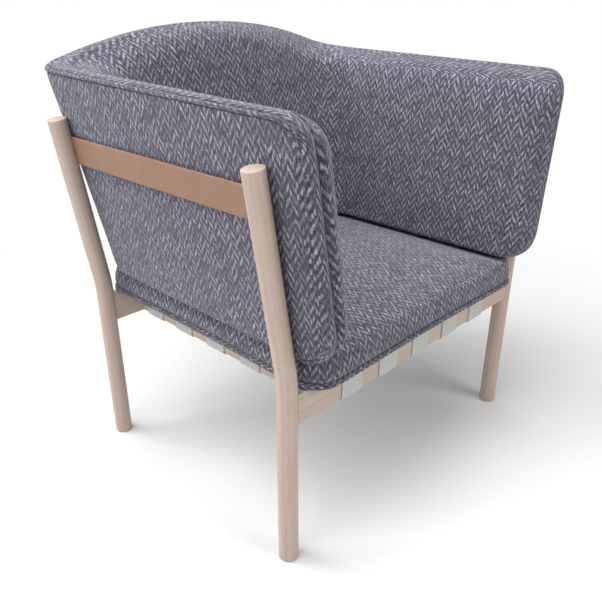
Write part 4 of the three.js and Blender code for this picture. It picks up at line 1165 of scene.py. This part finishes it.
def woven_webbing():
    """Seat webbing: a pale grey plain weave of coarse yarn, matt. Warp and weft are two sines."""
    material, tree, surface = new_material("woven_webbing", {"Roughness": 0.9, "Sheen Weight": 0.1})
    cloth = add(tree, "SeparateXYZ", [add(tree, "UVMap", uv_map="cloth")])
    warp, weft = (
        add(tree, "Math.SINE", [add(tree, "Math.MULTIPLY", [way, math.pi / (PICK * MM)])])
        for way in cloth.outputs[:2]
    )
    weave_relief = add(tree, "Math.MULTIPLY", [warp, weft])
    place = add(tree, "TexCoord").outputs["Object"]
    cloud = add(tree, "TexNoise", {"Vector": place, "Scale": YARN_CLOUDS, "Detail": 3.0})
    # Painted light and shade: the tone is lighter where the weave's relief rises and darker in its hollows.
    tone = add(tree, "Math.MULTIPLY_ADD", [weave_relief, 0.16, cloud])
    colour = add(tree, "ValToRGB", [tone], [(0.25, "b0b2b0"), (0.5, "c2c4c1"), (0.75, "d2d3d0")])
    bump = add(tree, "Bump", {"Height": weave_relief, "Strength": 0.4, "Distance": PICK_DEPTH * MM})
    feed(tree, surface, {"Base Color": colour, "Normal": bump})
    return material


def clouded(name, shader, marks, stops, detail=3.0):
    """A material whose colour wanders between two tones by noise. marks gives how many of its marks go
    on a metre along X, Y and Z."""
    material, tree, surface = new_material(name, shader)
    place = add(tree, "VectorMath.MULTIPLY", [add(tree, "TexCoord").outputs["Object"], marks])
    noise = add(tree, "TexNoise", {"Vector": place, "Scale": 1.0, "Detail": detail})
    feed(tree, surface, {"Base Color": add(tree, "ValToRGB", [noise], stops)})
    return material


def planed_beech():
    """The loose tenons inside the joints: plain planed beech, with grain along X."""
    return clouded("planed_beech", {"Roughness": 0.6}, (12, 220, 220), [(0.35, "b6a08f"), (0.65, "c8b7aa")])


def moulded_plywood():
    """Beech plywood, moulded and left bare: pale and warm, with soft clouds of about 11 mm."""
    return clouded("moulded_plywood", {"Roughness": 0.7}, (90,) * 3, [(0.35, "b89a72"), (0.65, "cbb088")])


def zinc_plated_steel():
    """Steel screws and studs, zinc plated: a cool bright metal with a slightly dull, even skin."""
    shader = {"Metallic": 1.0, "Roughness": 0.34}
    return clouded("zinc_plated_steel", shader, (400,) * 3, [(0.3, "a4a7aa"), (0.7, "bfc2c4")], 2.0)


def moulded_nylon():
    """Nylon glides, moulded: off-white, slightly waxy."""
    return clouded("moulded_nylon", {"Roughness": 0.45}, (300,) * 3, [(0.3, "cdc8bd"), (0.7, "d9d5cb")], 2.0)


WOOL = herringbone_wool()
BEECH = soaped_beech()
LEATHER = vegetable_tanned_leather()
WEBBING = woven_webbing()
TENON_WOOD = planed_beech()
PLYWOOD = moulded_plywood()
STEEL = zinc_plated_steel()
NYLON = moulded_nylon()


# Assembly


def dress(piece, material, slot, *nodes):
    """Gives a piece its material, lets it ride, and hides the nodes that it stands for. The slot is not
    used.
    """
    piece.data.materials.clear()
    piece.data.materials.append(material)
    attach(piece, "root")
    if nodes:
        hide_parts(*nodes)
    return piece


SIDES = {"left": 1, "right": -1}
ENDS = {"front": -1, "rear": 1}

# How far apart in the wood the grain of one leg or rail is from the next one's, in millimetres
LEG_GRAIN_STEP = 40.0
RAIL_GRAIN_STEP = 30.0
made_of_beech = 0
for side, side_x in SIDES.items():
    for end, side_y in ENDS.items():
        shift = LEG_GRAIN_STEP * made_of_beech
        leg = bent_leg(f"beech_leg_{end}_{side}", side_x, side_y, POST_LEAN_INWARD[end], shift)
        dress(leg, BEECH, "beech", f"leg_{end}_{side}")
        made_of_beech += 1
    strap = arm_strap(f"leather_strap_{side}", side_x)
    dress(strap, LEATHER, "leather", f"arm_strap_{side}")

for name, length_axis in (("rail_front", 0), ("rail_rear", 0), ("rail_left", 1), ("rail_right", 1)):
    shift = RAIL_GRAIN_STEP * made_of_beech
    rail = eased_board("beech_" + name, *node_box(name), RAIL_EDGE_RADIUS, length_axis, shift)
    dress(rail, BEECH, "beech", name)
    made_of_beech += 1

LONG_X = [node_middle(f"webbing_long_{i + 1}", 0) for i in range(WEBBING_COUNT)]
CROSS_Y = [node_middle(f"webbing_cross_{i + 1}", 1) - MIDDLE_Y for i in range(WEBBING_COUNT)]
LONG_SPAN = LEG_SPACING_Y + RAIL_THICKNESS
CROSS_SPAN = 2 * node_middle("rail_left", 0) + RAIL_THICKNESS
for i in range(WEBBING_COUNT):
    for way, span, crossings, over in (("long", LONG_SPAN, CROSS_Y, 0), ("cross", CROSS_SPAN, LONG_X, 1)):
        node = f"webbing_{way}_{i + 1}"
        strap = webbing_strap(f"strap_{way}_{i + 1}", node, span, crossings, i % 2 == over, way == "long")
        dress(strap, WEBBING, "webbing", node)

# Each padded piece, how far its cover may swell in millimetres, and its node
PADS = [
    (outer_pad(), 1.5, "shell_outer_pad"),
    (inner_pad(), 5, "shell_inner_pad"),
    (cushion(), 6, "seat_cushion"),
]
for pad, reach, node in PADS:
    swollen(pad, reach)
    dress(pad, WOOL, "wool", node)

# The outer piping is sunk at the front and tucked in at the bottom, where the chair shows none. The
# inner one lies low in its groove all round.
outer_piping = shell_welt(
    "outer_piping", WELT_RADIUS, top=(2.6, 2.9), front=(7, GROOVE_DEPTH - 5), bottom=(4, 6),
)
inner_piping = shell_welt(
    "inner_piping", INNER_WELT_RADIUS,
    top=(1, GROOVE_DEPTH), front=(7.5, GROOVE_DEPTH), bottom=(3, GROOVE_DEPTH),
)
dress(outer_piping, WOOL, "piping", "shell_outer_welt")
dress(inner_piping, WOOL, "piping", "shell_inner_welt")
dress(cushion_welt(), WOOL, "piping", "cushion_welt")

NODE_MATERIALS = {
    "glide": NYLON,
    "shell_stud": STEEL,
    "strap_screw": STEEL,
    "tenon": TENON_WOOD,
    "shell_core": PLYWOOD,
}
for name, found in frame["nodes"].items():
    for start, material in NODE_MATERIALS.items():
        if name.startswith(start):
            found.data.materials.clear()
            found.data.materials.append(material)


# Stage, camera and light. Places are in metres

CAMERA_PLACE = (-0.8805, -0.8236, 0.8463)
CAMERA_AZIMUTH = math.radians(-45.85)
CAMERA_ELEVATION = math.radians(25.24)
CAMERA_LENS = 38.64
CAMERA_SENSOR = 36
FLOOR_HALF = 30000
FLOOR_PLAIN = 0.8
FLOOR_LIFTED = 0.92
FADE_FROM = 0.6
FADE_TO = 1.5
ROOM_LIGHT = 0.07
CHAIR_MIDDLE = (0, 0, 0.4)

# Each lamp's place, size and power
LAMPS = {
    "overhead": ((-0.3, 0.2, 3.0), 2.2, 75),
    "key": ((-2.2, -1.2, 2.8), 1.8, 20),
    "left": ((-3.2, 0.2, 1.5), 1.8, 27),
    "front": ((0.6, -3.0, 1.8), 1.8, 40),
    "back": ((-1.8, 2.0, 2.6), 1.8, 58),
}


def camera():
    """The photograph's camera: its place, aim and lens for a picture of 602 by 600 pixels."""
    data = bpy.data.cameras.new("camera")
    data.lens = CAMERA_LENS
    data.sensor_width = CAMERA_SENSOR
    made = bpy.data.objects.new("camera", data)
    bpy.context.scene.collection.objects.link(made)
    made.location = CAMERA_PLACE
    made.rotation_euler = (math.pi / 2 - CAMERA_ELEVATION, 0, CAMERA_AZIMUTH)
    bpy.context.scene.camera = made


def area_light(name, place, target, size, power):
    """A soft square lamp at a place, aimed at a target."""
    data = bpy.data.lights.new(name, "AREA")
    data.shape = "SQUARE"
    data.size = size
    data.energy = power
    made = bpy.data.objects.new(name, data)
    bpy.context.scene.collection.objects.link(made)
    made.location = place
    aim = np.array(target) - np.array(place)
    made.rotation_euler = (
        math.atan2(math.hypot(aim[0], aim[1]), -aim[2]), 0, math.atan2(aim[1], aim[0]) - math.pi / 2,
    )


def seen_by_camera(tree):
    """1 for what the camera sees, straight or by way of gloss or glass, and 0 for light on the chair."""
    path = add(tree, "LightPath")
    seen = add(tree, "Math.MAXIMUM", [path.outputs["Is Camera Ray"], path.outputs["Is Glossy Ray"]])
    return add(tree, "Math.MAXIMUM", [seen, path.outputs["Is Transmission Ray"]])


def floor():
    """A wide pale floor. For the camera it is lifted to white and fades to plain white away from the
    chair, and it keeps the chair's shadow. From below it is clear, so that the underside can be seen."""
    corners = FLOOR_HALF * np.array([[-1, -1, 0], [1, -1, 0], [1, 1, 0], [-1, 1, 0]], float)
    made = mesh_piece("floor", corners, [[0, 1, 2, 3]])
    material = bpy.data.materials.new("pale_floor")
    tree = emptied_tree(material)
    plain = add(tree, "BsdfDiffuse", {"Color": (FLOOR_PLAIN, FLOOR_PLAIN, FLOOR_PLAIN, 1)})
    lifted = add(tree, "BsdfDiffuse", {"Color": (FLOOR_LIFTED, FLOOR_LIFTED, FLOOR_LIFTED, 1)})
    white = add(tree, "Emission", {"Color": (1, 1, 1, 1), "Strength": 1.0})
    away = add(tree, "VectorMath.LENGTH", [add(tree, "TexCoord").outputs["Object"]]).outputs["Value"]
    far = add(tree, "MapRange", [away, FADE_FROM, FADE_TO], interpolation_type="SMOOTHSTEP")
    shown = add(tree, "MixShader", [far, lifted, white])
    mixed = add(tree, "MixShader", [seen_by_camera(tree), plain, shown])
    below = add(tree, "NewGeometry").outputs["Backfacing"]
    whole = add(tree, "MixShader", [below, mixed, add(tree, "BsdfTransparent")])
    add(tree, "OutputMaterial", {"Surface": whole})
    made.data.materials.append(material)


def world():
    """A soft white room: even light from all sides, and white where the camera sees past the floor."""
    made = bpy.data.worlds.new("studio")
    bpy.context.scene.world = made
    tree = emptied_tree(made)
    dim = add(tree, "Background", {"Color": (1, 1, 1, 1), "Strength": ROOM_LIGHT})
    white = add(tree, "Background", {"Color": (1, 1, 1, 1), "Strength": 1.0})
    mixed = add(tree, "MixShader", [seen_by_camera(tree), dim, white])
    add(tree, "OutputWorld", {"Surface": mixed})


camera()
floor()
world()
for name, (place, size, power) in LAMPS.items():
    area_light(name, place, CHAIR_MIDDLE, size, power)
bpy.context.scene.view_settings.view_transform = "Standard"

bpy.context.view_layer.update()
